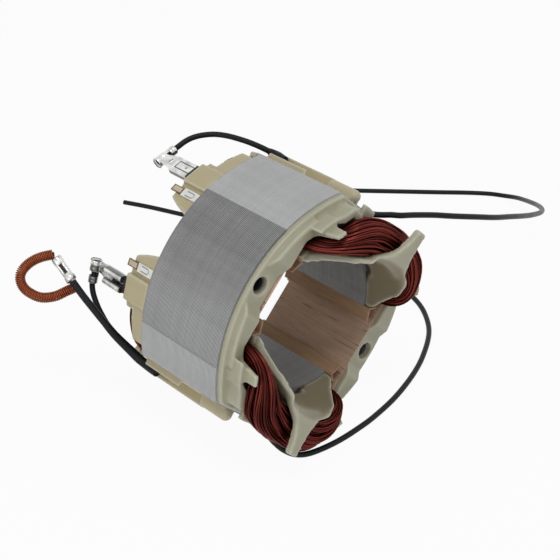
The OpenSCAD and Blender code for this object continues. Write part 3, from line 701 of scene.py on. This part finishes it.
def bundle_line(side, lift):
    """Points along a coil with the bundle's own axes, half sizes and twist.

    The lift moves the front end turn away from the bore, or towards it where it is below 0.
    """
    slot = [STACK_TOP * (2 * i / SLOT_STEPS - 1) for i in range(1, SLOT_STEPS)]
    front = end_turn()
    way = [(TURN_SIDE, z) for z in slot] + front
    way += [(-TURN_SIDE, -z) for z in slot] + [(-s, -z) for s, z in front]
    front_start, rear_start = len(slot), 2 * len(slot) + len(front)

    def share_of(s, z):
        u = min(1, (SWELL_RATE if z > 0 else REAR_SWELL_RATE) * (1 - abs(s) / TURN_SIDE))
        return u * u * (3 - 2 * u)

    def on_pole(s, z):
        radius = COIL_R + (TURN_R + (lift if z > 0 else 0) - COIL_R) * share_of(s, z)
        a = math.pi / 2 - s / COIL_R
        return Vector((radius * math.cos(a), side * radius * math.sin(a), z))

    line = [on_pole(s, z) for s, z in way]
    count = len(line)
    rows = []
    for i, here in enumerate(line):
        along = (line[(i + 1) % count] - line[i - 1]).normalized()
        out = Vector((here.x, here.y, 0))
        out = (out - out.dot(along) * along).normalized()
        across = along.cross(out)
        share = share_of(*way[i])
        front_part = min(1, max(0, (i - front_start) / (len(front) - 1)))
        rear_part = min(1, max(0, (i - rear_start) / (len(front) - 1)))
        rows.append((
            bench_place(*here) * MM, bench_place(*out), bench_place(*across),
            (COIL_HALF_T + (TURN_HALF - COIL_HALF_T) * share) * MM,
            (COIL_HALF_W + (TURN_HALF - COIL_HALF_W) * share) * MM,
            TURN_TWIST * (front_part - rear_part), share,
        ))
    return rows


def winding_tree():
    """Lays strands of wire round a bundle's line, each in its own place and wandering a little."""
    tree, given, inputs = geometry_tree("strands_round_a_bundle", "Line", {
        "Strands": "Int", "Share": "Float", "Share Spread": "Float", "Twist Spread": "Float",
        "Wander": "Float", "Wire Radius": "Float", "Seed": "Int", "Finish": "Material",
    }, "Winding")

    def field(name, kind="FLOAT"):
        return tree.node(
            "GeometryNodeInputNamedAttribute", {"data_type": kind}, {"Name": name}, "Attribute"
        )

    line = tree.node("GeometryNodeMeshToCurve", {}, {"Mesh": given["Line"]})
    strands, number = tree.node(
        "GeometryNodeDuplicateElements", {"domain": "SPLINE"},
        {"Geometry": line, "Amount": given["Strands"]}, ("Geometry", "Duplicate Index"),
    )

    def drawn(low, high, shift):
        """A random number for each strand."""
        return tree.node(
            "FunctionNodeRandomValue", {"data_type": "FLOAT"},
            {"Min": low, "Max": high, "ID": number, "Seed": given["Seed"] + float(shift)}, "Value",
        )

    def wander(shift):
        """A slow drift along each strand, from -1 to 1."""
        here = tree.node("GeometryNodeInputPosition", {}, {})
        strand = number * STRAND_STEP + given["Seed"] + float(shift)
        return tree.node(
            "ShaderNodeTexNoise", {"noise_dimensions": "4D"},
            {"Vector": here, "W": strand, "Scale": WANDER_SCALE, "Detail": 1.0},
        ) * 2.0 - 1.0

    share = given["Share"] - drawn(0.0, 1.0, 1) * given["Share Spread"]
    angle = (
        (number + drawn(-0.3, 0.3, 2)) / given["Strands"] * (2 * math.pi)
        + field("twist") * (1.0 + drawn(-1.0, 1.0, 3) * given["Twist Spread"])
    )

    def rounded(wave):
        return wave.maths("SIGN", wave) * abs(wave) ** BUNDLE_POWER

    loose = given["Wander"] * field("share")
    steps = []
    for way, half, turn, shift in (("out", "half_t", "COSINE", 11), ("across", "half_w", "SINE", 23)):
        room = (field(half) - given["Wire Radius"]) * share
        size = room * rounded(angle.maths(turn, angle)) + loose * wander(shift)
        steps.append((field(way, "FLOAT_VECTOR"), size))
    # Each strand gets a random number, read by the enamel as painted sheen: lighter and darker strands
    # stand in for highlights that differ from strand to strand.
    laid = tree.node(
        "GeometryNodeStoreNamedAttribute", {"data_type": "FLOAT", "domain": "POINT"},
        {
            "Geometry": moved_line(tree, strands, steps), "Name": "strand_tone",
            "Value": drawn(0.0, 1.0, 31),
        },
    )
    round_wire(tree, given, laid, WIRE_SIDES, False, "Winding")
    return tree.tree, inputs


def enamelled_wire():
    enamel = Finish("enamelled_wire")
    varnish = enamel.noise(160, detail=4.0)
    fine = enamel.noise(1400)
    strand = enamel.node("ShaderNodeAttribute", {"attribute_name": "strand_tone"}, {}, "Fac")
    # Painted sheen: the strand number makes whole strands lighter or darker, for highlights that differ
    # from strand to strand; the varnish noise is the enamel's own unevenness.
    tone = 0.5 * varnish + 0.9 * strand - 0.2
    return enamel.surface({
        "Base Color": enamel.mix(tone, (0.032, 0.0055, 0.005), (0.18, 0.034, 0.026)),
        "Metallic": 0.7,
        "Roughness": 0.12 + 0.16 * fine,
        "Specular IOR Level": 0.25,
        "Specular Tint": (0.75, 0.34, 0.27, 1),
    })


ENAMEL = enamelled_wire()
WINDING_TREE = winding_tree()
LAYER_INPUTS = ("Strands", "Share", "Share Spread", "Twist Spread", "Wander")
WINDING_LAYERS = (
    (24, 0.62, 0.05, 0.1, 0.3 * MM),
    (34, 0.82, 0.05, 0.1, 0.3 * MM),
    (42, 1.0, 0.09, 0.22, 0.6 * MM),
    (13, 1.08, 0.06, 0.6, 0.8 * MM),
)
BUNDLE_FIELDS = (
    ("out", "FLOAT_VECTOR"), ("across", "FLOAT_VECTOR"), ("half_t", "FLOAT"), ("half_w", "FLOAT"),
    ("twist", "FLOAT"), ("share", "FLOAT"),
)
for coil, side, lift, seed in (("upper", 1, -FRONT_LIFT, 5), ("lower", -1, FRONT_LIFT, 12)):
    places, *columns = zip(*bundle_line(side, lift))
    fields = [(*field, column) for field, column in zip(BUNDLE_FIELDS, columns)]
    bundle = bmesh.new()
    for number, layer in enumerate(WINDING_LAYERS):
        line = path_mesh(f"{coil}_line_{number}", places, True, fields)
        settings = dict(zip(LAYER_INPUTS, layer))
        settings |= {"Wire Radius": WIRE_R, "Seed": seed + LAYER_SEEDS * number, "Finish": ENAMEL}
        bundle.from_mesh(grown(f"{coil}_carrier_{number}", line, WINDING_TREE, settings))
    piece_of(f"{coil}_winding", bundle, [ENAMEL], [f"{coil}_field_coil"])

# The slot wedges: strips of lighter board, folded at the pole tips and pushed in over the wound coils.
# They close the slots towards the rotor.
WEDGE_BOARD = fibre_board(
    "wedge_board", (0.20, 0.10, 0.04), (0.31, 0.175, 0.09), (0.60, 0.40, 0.255), 0.35
)
for pole in ("upper", "lower"):
    for side in ("left", "right"):
        dress(f"{pole}_{side}_wedge", WEDGE_BOARD)

# The end frames: one moulding of cream plastic on each face of the stack, the rear one a yellower grade.
# Walls, prongs and guides have soft moulded edges, and each former turns into its horn in one round sweep.
FORMER_R = 29.7
FORMER_H = 22.5
WALL_ROOM = 3.0
SWEEP_R = 7.0
SWEEP_HALF = 13.0
SWEEP_FADE = 3.0
SWEEP_SKIN = 5.0
POLE_D = 20.0
VOXEL = 0.475 * MM
EASE = 0.5
EDGE_ROUNDS = 4
HORN_ROUNDS = 26
HORN_ZONE = (FORMER_H - 12, FORMER_H - 7)
HORN_SWEEP_END = FORMER_R + 11
HORN_SWEEP_FADE = 4.0
SEAT_DRAW = 0.35
SEAT_H = 1.0
LIP_DRAW = 2.2
LIP_SECTOR = (10, 40)
LIP_SECTOR_FADE = 6
LIP_RING = (40, 47.5)
LIP_RING_FADES = (2, 3)
FULL_BULGE = 420
BULGE_ROUNDS = 4
# The painted bowl shade: how far a former's face must lean inward, the height it starts at, its half width
# and its easing.
BOWL_SHADE_LEAN = 0.3
BOWL_SHADE_FROM = 0.5
BOWL_SHADE_HALF = 25
BOWL_SHADE_ROUNDS = 8
# The painted shade at the foot of each former, near the pole's middle: its half widths, its height, the d
# it starts beyond, and its easing.
POCKET_SHADE_HALF = (12.5, 19.5)
POCKET_SHADE_DEEP = 3.6
POCKET_SHADE_D = 5
POCKET_SHADE_ROUNDS = 1


def moulded_plastic(name, deep, pale, bowl_shade_colour):
    """Plastic that lets some light through, with painted light and shade: edges that stand out painted
    paler as a highlight, hollows darker as shade, and the formers' inward faces and a band at their foot
    painted dark as shade.
    """
    plastic = Finish(name)
    bulge, backed, pocket = (
        plastic.node("ShaderNodeAttribute", {"attribute_name": field}, {}, "Fac")
        for field in ("bulge", "backed", "pocket")
    )
    flow = plastic.noise(28, detail=3.0)
    cloud = plastic.noise(120, detail=3.0)
    grain = plastic.noise(2200)
    shade = plastic.mix(0.5 * flow + 0.5 * cloud, deep, pale)
    shade = plastic.mix(backed * (0.55 + 0.5 * flow), shade, bowl_shade_colour)
    # Painted light and shade from the bulge field: edges that stand out are painted paler as a highlight,
    # and hollows darker as shade.
    rim = bulge.maths("MAXIMUM", bulge, 0.0)
    crease_shade = (bulge * -1.0).maths("MAXIMUM", bulge * -1.0, 0.0)
    shade = plastic.mix(0.62 * rim, shade, (0.74, 0.73, 0.62))
    shade = plastic.mix(0.5 * crease_shade, shade, tuple(0.45 * c for c in deep))
    return plastic.surface({
        "Base Color": plastic.mix(pocket, shade, (0.035, 0.030, 0.022)),
        "Roughness": 0.22 + 0.2 * cloud,
        "Specular IOR Level": 0.5,
        "Subsurface Weight": 0.25,
        "Subsurface Radius": (1.0, 0.8, 0.45),
        "Subsurface Scale": 0.0016,
        "Normal": plastic.bump(grain + 2.0 * cloud, 0.00004),
    })


def above_stack(x, y, z, sign):
    """A place on the bench in the stator's own frame: between the poles, through them, up from a face."""
    return x * ROLL_COS - z * ROLL_SIN, x * ROLL_SIN + z * ROLL_COS, -y * sign - STACK_TOP


def swept_crown(vertex, sign):
    """Moves a point near the crown of a former, so that wall and horn meet in a round sweep."""
    q, d, up = above_stack(*(vertex.co / MM), sign)
    if abs(q) > SWEEP_HALF or abs(d) < POLE_D or up < FORMER_H - 3 * SWEEP_R:
        return
    radius = math.hypot(q, d)
    out, down = radius - FORMER_R, FORMER_H - up
    leg = out - down
    if abs(leg) >= SWEEP_R or min(out, down) > SWEEP_SKIN:
        return
    theta = math.pi / 4 * (1 - abs(leg) / SWEEP_R)
    bent = SWEEP_R * (1 - math.cos(theta))
    drawn = SWEEP_R * (1 - math.sin(theta)) - abs(leg)
    fade = min(1, (SWEEP_HALF - abs(q)) / SWEEP_FADE)
    move_out, move_down = (bent, drawn) if leg < 0 else (drawn, bent)
    grow = (radius + fade * move_out) / radius
    vertex.co = bench_place(q * grow, d * grow, sign * (STACK_TOP + up - fade * move_down)) * MM


class Net:
    """The points of a mesh as an array, with the edges between them."""

    def __init__(self, mesh):
        self.mesh = mesh
        self.count = len(mesh.vertices)
        self.places = self.array(mesh.vertices, "co", 3)
        edges = np.empty(2 * len(mesh.edges), dtype=np.int32)
        mesh.edges.foreach_get("vertices", edges)
        self.a, self.b = edges.reshape(-1, 2).T
        self.links = self.gathered(np.ones(len(self.a)), np.ones(len(self.a)))

    def array(self, source, key, width):
        flat = np.empty(width * self.count, dtype=np.float32)
        source.foreach_get(key, flat)
        return flat.reshape(-1, width).astype(float)

    def gathered(self, for_a, for_b):
        """What the edges bring to each point, from their one end and their other."""
        return np.bincount(self.a, for_a, self.count) + np.bincount(self.b, for_b, self.count)

    def eased(self, values, share, rounds):
        """Draws each point's value towards its neighbours' mean."""
        for _ in range(rounds):
            mean = self.gathered(values[self.b], values[self.a]) / self.links
            values = values + share * (mean - values)
        return values

    def normals(self):
        return self.array(self.mesh.vertex_normals, "vector", 3)

    def bulge(self):
        """Above 0 at edges that stand out, below 0 in hollows, per metre."""
        step = self.places[self.b] - self.places[self.a]
        size = (step * step).sum(1)
        normals = self.normals()
        lean_a = -(normals[self.a] * step).sum(1) / size
        lean_b = (normals[self.b] * step).sum(1) / size
        return self.gathered(lean_a, lean_b) / self.links

    def keep(self, field, values):
        kept = self.mesh.attributes.new(field, "FLOAT", "POINT")
        kept.data.foreach_set("value", values.astype(np.float32))


def ramped(past, width):
    """0 before a limit, and 1 once the width is passed too."""
    return np.clip(past / width, 0, 1)


def moulding(name, node, sign, material):
    """A skin over an end frame: its edges eased, its horns swept, with fields for the plastic's painted
    light and shade.
    """
    copy = bpy.data.objects.new(name + "_blank", nodes[node].data.copy())
    scene.collection.objects.link(copy)
    joined = bmesh.new()
    joined.from_mesh(copy.data)
    bmesh.ops.remove_doubles(joined, verts=joined.verts, dist=1e-6)
    joined.to_mesh(copy.data)
    joined.free()
    remesh = copy.modifiers.new("skin", "REMESH")
    remesh.mode = "VOXEL"
    remesh.voxel_size = VOXEL
    skin = made_plain(copy)
    for vertex in skin.vertices:
        swept_crown(vertex, sign)
    net = Net(skin)
    q, d, up = above_stack(*(net.places.T / MM), sign)
    radius = np.hypot(q, d)
    q_way, d_way = np.array(bench_place(1, 0, 0)), np.array(bench_place(0, 1, 0))
    outward = (q / radius)[:, None] * q_way + (d / radius)[:, None] * d_way

    low, high = HORN_ZONE
    horn = ramped(up - low, high - low) * ramped(HORN_SWEEP_END - radius, HORN_SWEEP_FADE)
    horn *= (np.abs(q) < SWEEP_HALF + WALL_ROOM) * (radius > FORMER_R - WALL_ROOM)
    for rounds, share in ((EDGE_ROUNDS, np.full(net.count, EASE)), (HORN_ROUNDS, EASE * horn)):
        net.places = np.stack([net.eased(net.places[:, k], share, rounds) for k in range(3)], 1)
    net.places[:, 1] += sign * SEAT_DRAW * MM * ramped(SEAT_H - up, SEAT_H)
    if sign > 0:
        aside = 90 - np.degrees(np.arctan2(np.abs(d), np.abs(q)))
        lip = ramped(up - SEAT_H, SEAT_H)
        for past, width in (
            (aside - LIP_SECTOR[0], LIP_SECTOR_FADE), (LIP_SECTOR[1] - aside, LIP_SECTOR_FADE),
            (radius - LIP_RING[0], LIP_RING_FADES[0]), (LIP_RING[1] - radius, LIP_RING_FADES[1]),
        ):
            lip *= ramped(past, width)
        net.places -= (LIP_DRAW * MM * lip)[:, None] * outward
    skin.vertices.foreach_set("co", net.places.astype(np.float32).ravel())
    skin.update()

    # Painted shade: the former's inward faces get the bowl shade, for the shaded bowl and the dark coil
    # seen through its thin wall.
    by_former = radius < FORMER_R + WALL_ROOM
    inward = -(net.normals() * outward).sum(1)
    backed = by_former * (inward > BOWL_SHADE_LEAN) * (up > BOWL_SHADE_FROM) * (np.abs(q) < BOWL_SHADE_HALF)
    # Painted shade: a near-black band at the foot of each former, next to the stack, near the pole's
    # middle.
    narrow = ramped(POCKET_SHADE_HALF[1] - np.abs(q), POCKET_SHADE_HALF[1] - POCKET_SHADE_HALF[0])
    pocket = by_former * (np.abs(d) > POCKET_SHADE_D) * ramped(POCKET_SHADE_DEEP * narrow - up, VOXEL / MM)
    net.keep("bulge", np.clip(net.eased(net.bulge(), EASE, BULGE_ROUNDS) / FULL_BULGE, -1, 1))
    net.keep("backed", net.eased(backed.astype(float), EASE, BOWL_SHADE_ROUNDS))
    net.keep("pocket", net.eased(pocket, EASE, POCKET_SHADE_ROUNDS))
    return piece_of(name, skin, [material], [node])


# The third colour of each plastic is its painted bowl shade.
moulding(
    "front_moulding", "front_end_frame", 1,
    moulded_plastic("front_plastic", (0.40, 0.38, 0.25), (0.56, 0.54, 0.405), (0.235, 0.188, 0.112)),
)
moulding(
    "rear_moulding", "rear_end_frame", -1,
    moulded_plastic("rear_plastic", (0.52, 0.44, 0.25), (0.66, 0.575, 0.36), (0.30, 0.23, 0.12)),
)

# The terminals: tinned blades in the blocks of the rear frame, and solder tabs with bare brass ends beside
# them. Flag receptacles, rolled of thin sheet and crimped on the flag leads, are pushed on the blades.
TERMINAL_R = 60.5
TERMINAL_OFFSET = 17.0
FLAG_TURN = math.radians(153.2)
TAB_TURN = math.radians(163)
BLADE_X = -4.2
SHEET = 0.4
FLOOR_X = 0.65
SHEET_HALF = 3.4
FLOOR_ROUND = 0.3
FLOOR_CORNER = 0.08
ROLL_R = 1.2
ROLL_X = -1.75
ROLL_TURN = range(325, 89, -20)
ROLL_Y = SHEET_HALF - ROLL_R
FLAG_REAR = -28.0
FLAG_MOUTH = -17.5
# Painted shade: dark discs inside the rolled edges, and a dark slab that shows at the mouth of the flag.
ROLL_SHADE_R = 0.95 * ROLL_R
ROLL_SHADE_SIDES = 16
ROLL_SHADE = (FLAG_REAR + 0.6, FLAG_MOUTH - 0.5)
MOUTH_SHADE_SLAB = [(-0.9, -3.5), (0.75, -3.5), (0.75, 3.5), (-0.9, 3.5)]
MOUTH_SHADE_SPAN = (FLAG_MOUTH - 0.3, -14.9)
PANEL_Z, PANEL_HALF = -21.6, (1.75, 4.2)
DIMPLE_Z, DIMPLE_R = -20.6, 0.42
NECK_OUTLINE = [
    (3.4, -27.6), (3.3, -29.6), (2.9, -31.4), (2.9, -36), (-1.6, -36), (-1.9, -33.5), (-2.8, -30.6),
    (-3.4, -29), (-3.4, -27.6),
]
NECK_HOLE = ((0.2, -29.7), (1.15, 0.62))
NECK_RAYS = 28
STRAP = [(-1.4, -35.1), (-1.4, -36.9), (-6.5, -36.9), (-6.5, -35.1)]
WIRE_CRIMP = [
    (3.3, 2.2), (3.1, 2.42), (2.5, 2.25), (0.8, 2.12), (0.4, 1.98), (0, 2.12), (-1.3, 2.15), (-1.6, 1.95),
]
GRIP_BAND = [
    (-3.6, 1.75), (-3.8, 1.92), (-4.9, 1.95), (-5.1, 1.82), (-5.3, 1.95), (-6.4, 1.92), (-6.6, 1.75),
]
BAND_SIDES = 24
BAND_SUNK = 0.9 * MM
CRIMP_Z = -36.0
CRIMP_X = -0.8
SOFT_EDGE = math.radians(30)
TAB_BARE_Z = -11.6
TAB_END_Z, TAB_END_HALF = -14.7, (1.05, 2.3)
GROOVE_FOOT_Z, GROOVE_END_Z, GROOVE_R = -6.2, -9.6, 1.0


def terminal_place(turn, side, x, y, z):
    """A point of a terminal: out on its ray, across it, and up the bore axis, in millimetres."""
    c, s = math.cos(turn), math.sin(turn)
    q = TERMINAL_OFFSET + (TERMINAL_R + x) * c - y * s
    return bench_place(q, side * ((TERMINAL_R + x) * s + y * c), z - STACK_TOP) * MM


def across_terminal(finish, turn):
    """The ways across a terminal, along the bore and up from its blade, the same on both poles."""
    q, d, out = stator_axes(finish)
    c, s = math.cos(turn), math.sin(turn)
    off = TERMINAL_R * MM
    q = q - (TERMINAL_OFFSET * MM + off * c)
    d_out = abs(d) - off * s
    above = (q * c + d_out * s - BLADE_X * MM) * d.maths("SIGN", d)
    return d_out * c - q * s, out + STACK_TOP * MM, above


def tab_metal():
    """Tin with a grooved foot, its groove painted dark as shade, worn to brass with a dark border at the
    bare end.
    """
    metal = Finish("tab_metal")
    y, z, _ = across_terminal(metal, TAB_TURN)
    smear = metal.noise(300, detail=4.0)
    bare = (z * -1.0).past(-TAB_BARE_Z * MM, 0.3 * MM)
    tin = metal.mix(smear, (0.55, 0.55, 0.53), (0.88, 0.88, 0.86))
    brass = metal.mix(smear, (0.40, 0.33, 0.22), (0.62, 0.54, 0.40))
    foot = z - GROOVE_FOOT_Z * MM
    bend = (y * y + foot.maths("MAXIMUM", foot, 0.0) ** 2.0) ** 0.5
    # Painted shade: the groove along the foot is darkened as well as sunk in the bump.
    groove = 1.0 - abs(bend - GROOVE_R * MM).past(0.22 * MM, 0.2 * MM)
    groove = groove * z.past(GROOVE_END_Z * MM, 0.2 * MM)
    side = abs(y).past(TAB_END_HALF[0] * MM, 0.2 * MM)
    end = abs(z - TAB_END_Z * MM).past(TAB_END_HALF[1] * MM, 0.5 * MM)
    border = bare * side.maths("MAXIMUM", side, end)
    worn = metal.mix(0.85 * border, metal.mix(bare, tin, brass), (0.10, 0.055, 0.03))
    return metal.surface({
        "Base Color": metal.mix(0.7 * groove * (1.0 - bare), worn, (0.16, 0.16, 0.16)),
        "Metallic": 0.85,
        "Roughness": 0.22 + 0.25 * smear,
        "Normal": metal.bump(smear - 1.5 * groove - border, 0.0001),
    })


def flag_tin():
    """Bright tin with the pressed rectangle and dimple of the flag's floor, with painted shade in the
    pressed lines and on the sides of the rolled edges.
    """
    tin = Finish("flag_tin")
    y, z, above = across_terminal(tin, FLAG_TURN)
    smear = tin.noise(280, detail=5.0)
    across = abs(y) - PANEL_HALF[0] * MM
    along = abs(z - PANEL_Z * MM) - PANEL_HALF[1] * MM
    # Painted shade: the lines of the pressed rectangle, the dimple and the sides of the rolled edges are
    # darkened nearly to black.
    frame_line = 1.0 - abs(across.maths("MAXIMUM", across, along)).past(0.26 * MM, 0.2 * MM)
    dimple = 1.0 - ((y * y + (z - DIMPLE_Z * MM) ** 2.0) ** 0.5).past(DIMPLE_R * MM, 0.2 * MM)
    pressed = frame_line.maths("MAXIMUM", frame_line, dimple) * above.past(0.2 * MM, 0.2 * MM)
    plain = tin.mix(smear.past(0.5, 0.5), (0.50, 0.50, 0.49), (0.88, 0.88, 0.86))
    rolled = 1.0 - above.past(-0.3 * MM, 0.3 * MM)
    fold_shade = abs(abs(y) - ROLL_Y * MM).past(0.85 * MM, 0.5 * MM) * rolled
    darker = pressed.maths("MAXIMUM", pressed, fold_shade)
    return tin.surface({
        "Base Color": tin.mix(0.85 * darker, plain, (0.07, 0.07, 0.065)),
        "Metallic": 0.92,
        "Roughness": 0.16 + 0.24 * smear,
        "Normal": tin.bump(0.7 * smear - 2.0 * pressed, 0.0001),
    })


def rolled_section():
    """Closed outline of the sheet across a receptacle: a floor, both edges rolled back over the blade."""
    roll = [math.radians(a) for a in ROLL_TURN]
    half = [(ROLL_X + ROLL_R * math.cos(a), ROLL_Y + ROLL_R * math.sin(a)) for a in roll]
    half += [
        (ROLL_X, SHEET_HALF), (FLOOR_X - FLOOR_ROUND, SHEET_HALF),
        (FLOOR_X - FLOOR_CORNER, SHEET_HALF - FLOOR_CORNER), (FLOOR_X, SHEET_HALF - FLOOR_ROUND),
    ]
    line = [Vector(c) for c in half] + [Vector((x, -y)) for x, y in reversed(half)]
    left, right = [], []
    for i, here in enumerate(line):
        way = (line[min(i + 1, len(line) - 1)] - line[max(i - 1, 0)]).normalized()
        aside = Vector((-way.y, way.x)) * SHEET / 2
        left.append(here + aside)
        right.append(here - aside)
    return [tuple(c) for c in left + right[::-1]]


def prism(mesh, low, high, material=0):
    """Adds a closed prism between two rings of places."""
    rings = [[mesh.verts.new(c) for c in ring] for ring in (low, high)]
    count = len(low)
    faces = [mesh.faces.new(rings[0][::-1]), mesh.faces.new(rings[1])]
    for k in range(count):
        m = (k + 1) % count
        faces.append(mesh.faces.new((rings[0][k], rings[0][m], rings[1][m], rings[1][k])))
    for face in faces:
        face.material_index = material


def pierced(mesh, outline, hole, lifted):
    """Adds a plate with an oval hole; lifted(y, z, level) places a point on its lower or upper face."""
    (hole_y, hole_z), (half_y, half_z) = hole

    def edge_at(angle):
        """The outline's point on a ray from the middle of the hole."""
        ray = Vector((math.cos(angle), math.sin(angle)))
        best = None
        for (ay, az), (by, bz) in zip(outline, outline[1:] + outline[:1]):
            a, run = Vector((ay - hole_y, az - hole_z)), Vector((by - ay, bz - az))
            det = ray.x * run.y - ray.y * run.x
            if abs(det) < 1e-9:
                continue
            t = (a.x * run.y - a.y * run.x) / det
            u = (a.x * ray.y - a.y * ray.x) / det
            if t > 0 and -1e-6 <= u <= 1 + 1e-6 and (best is None or t < best):
                best = t
        return hole_y + ray.x * best, hole_z + ray.y * best

    angles = {2 * math.pi * k / NECK_RAYS for k in range(NECK_RAYS)}
    angles |= {math.atan2(z - hole_z, y - hole_y) % (2 * math.pi) for y, z in outline}
    angles = sorted(angles)
    outer = [edge_at(a) for a in angles]
    inner = [(hole_y + half_y * math.cos(a), hole_z + half_z * math.sin(a)) for a in angles]
    rings = [
        [mesh.verts.new(lifted(y, z, level)) for y, z in ring]
        for ring in (outer, inner) for level in (0, 1)
    ]
    for a, b in ((0, 1), (1, 3), (3, 2), (2, 0)):
        for k in range(len(angles)):
            m = (k + 1) % len(angles)
            mesh.faces.new((rings[a][k], rings[a][m], rings[b][m], rings[b][k]))


def receptacle(pole, side):
    """A flag receptacle: rolled body, pierced neck, strap, wire crimp and grip band in one sheet."""

    def at(x, y, z):
        return terminal_place(FLAG_TURN, side, BLADE_X + side * x, y, z)

    def along_bore(outline, ends, material=0):
        prism(mesh, *([at(x, y, z) for x, y in outline] for z in ends), material)

    def in_floor(y, z, level):
        return at(FLOOR_X + SHEET * (level - 0.5), y, z)

    mesh = bmesh.new()
    along_bore(rolled_section(), (FLAG_REAR, FLAG_MOUTH))
    pierced(mesh, NECK_OUTLINE, NECK_HOLE, in_floor)
    prism(mesh, *([in_floor(y, z, level) for y, z in STRAP] for level in (0, 1)))
    # Painted shade: dark discs fill the rolled edges and a dark slab stands at the mouth, both in the
    # painted-shade finish.
    turns = [2 * math.pi * k / ROLL_SHADE_SIDES for k in range(ROLL_SHADE_SIDES)]
    for roll_y in (-ROLL_Y, ROLL_Y):
        disc = [(ROLL_X + ROLL_SHADE_R * math.cos(a), roll_y + ROLL_SHADE_R * math.sin(a)) for a in turns]
        along_bore(disc, ROLL_SHADE, 1)
    along_bore(MOUTH_SHADE_SLAB, MOUTH_SHADE_SPAN, 1)
    bmesh.ops.recalc_face_normals(mesh, faces=mesh.faces)
    for face in mesh.faces:
        face.smooth = True
    for edge in mesh.edges:
        edge.smooth = edge.calc_face_angle(0) < SOFT_EDGE
    for profile, rim in ((WIRE_CRIMP, 0.45 * MM), (GRIP_BAND, 0.3 * MM)):
        route = [at(CRIMP_X, y, CRIMP_Z) for y, _ in profile]
        tube, ends = swept(route, [radius * MM for _, radius in profile], BAND_SIDES)
        for face in ends:
            sunk_end(tube, face, rim, BAND_SUNK)
        data = bpy.data.meshes.new("crimp")
        tube.to_mesh(data)
        tube.free()
        mesh.from_mesh(data)
    return piece_of(
        f"{pole}_flag", mesh, [FLAG_TIN, PAINTED_SHADE], [f"{pole}_flag_receptacle"]
    )


DULL_TIN = plated("dull_tin", (0.08, 0.08, 0.075), (0.34, 0.34, 0.33))
TAB_METAL = tab_metal()
FLAG_TIN = flag_tin()
for pole, side in (("upper", 1), ("lower", -1)):
    dress(f"{pole}_blade", DULL_TIN)
    dress(f"{pole}_solder_tab", TAB_METAL)
    receptacle(pole, side)

# The flag leads and their sleeves: short black leads crimped into the barrels of the flags.
# They run back over the rear frame into rubber sleeves in the guides; the lower sleeve takes in the brush
# lead too.
UPPER_FLAG = [
    (-8.7, 58, 39.7), (-0.7, 58, 42.55),
    (2.1, 57.9, 43.6), (5, 57.5, 44.8), (8.2, 56.5, 45.8), (11.6, 54.4, 46.5), (15.2, 51.3, 46.8),
    (18, 47.2, 46.7), (20.4, 43, 46.1), (22.7, 38.6, 45.2), (24.5, 34, 44.2), (25.75, 30.55, 43.25),
]
LOWER_FLAG = [
    (-41.6, 58, 7.2), (-44.1, 58, -1),
    (-44.7, 57.8, -2.9), (-45.7, 55.9, -5.6), (-46.6, 52.4, -8.9), (-46.6, 49.8, -11.9), (-46, 46.7, -15.8),
    (-44.4, 41.8, -20.6), (-42.4, 36.4, -24.1),
]
UPPER_SLEEVE = [(25.8, 30.4, 43.2), (26.8, 27.6, 42.4), (26.65, 24.6, 42.05), (26.4, 22, 41.75)]
LOWER_SLEEVE = [
    (-49.2, 43.8, -12.3), (-47.8, 40.4, -16.2), (-45.9, 37.4, -19.9), (-44.1, 34.6, -23.2),
    (-42.8, 31.6, -25.8), (-41.9, 28.2, -27.3), (-41.7, 25, -27.8), (-41.6, 21.8, -27.9),
]
SLEEVE_R = 1.9 * MM
# The sleeves' sunk ends take the painted-shade finish: the open end of each sleeve is painted dark.
for name, points, radius, end_finish, slim in (
    ("upper_flag_lead", UPPER_FLAG, LEAD_R, STRAND_COPPER, 1),
    ("lower_flag_lead", LOWER_FLAG, LEAD_R, STRAND_COPPER, 1),
    ("upper_sleeve", UPPER_SLEEVE, SLEEVE_R, PAINTED_SHADE, 0.7),
    ("lower_sleeve", LOWER_SLEEVE, SLEEVE_R, PAINTED_SHADE, 0.8),
):
    covered_wire(name + "_cover", smooth_route(points, ROUTE_STEPS), radius, name, end_finish, slim)
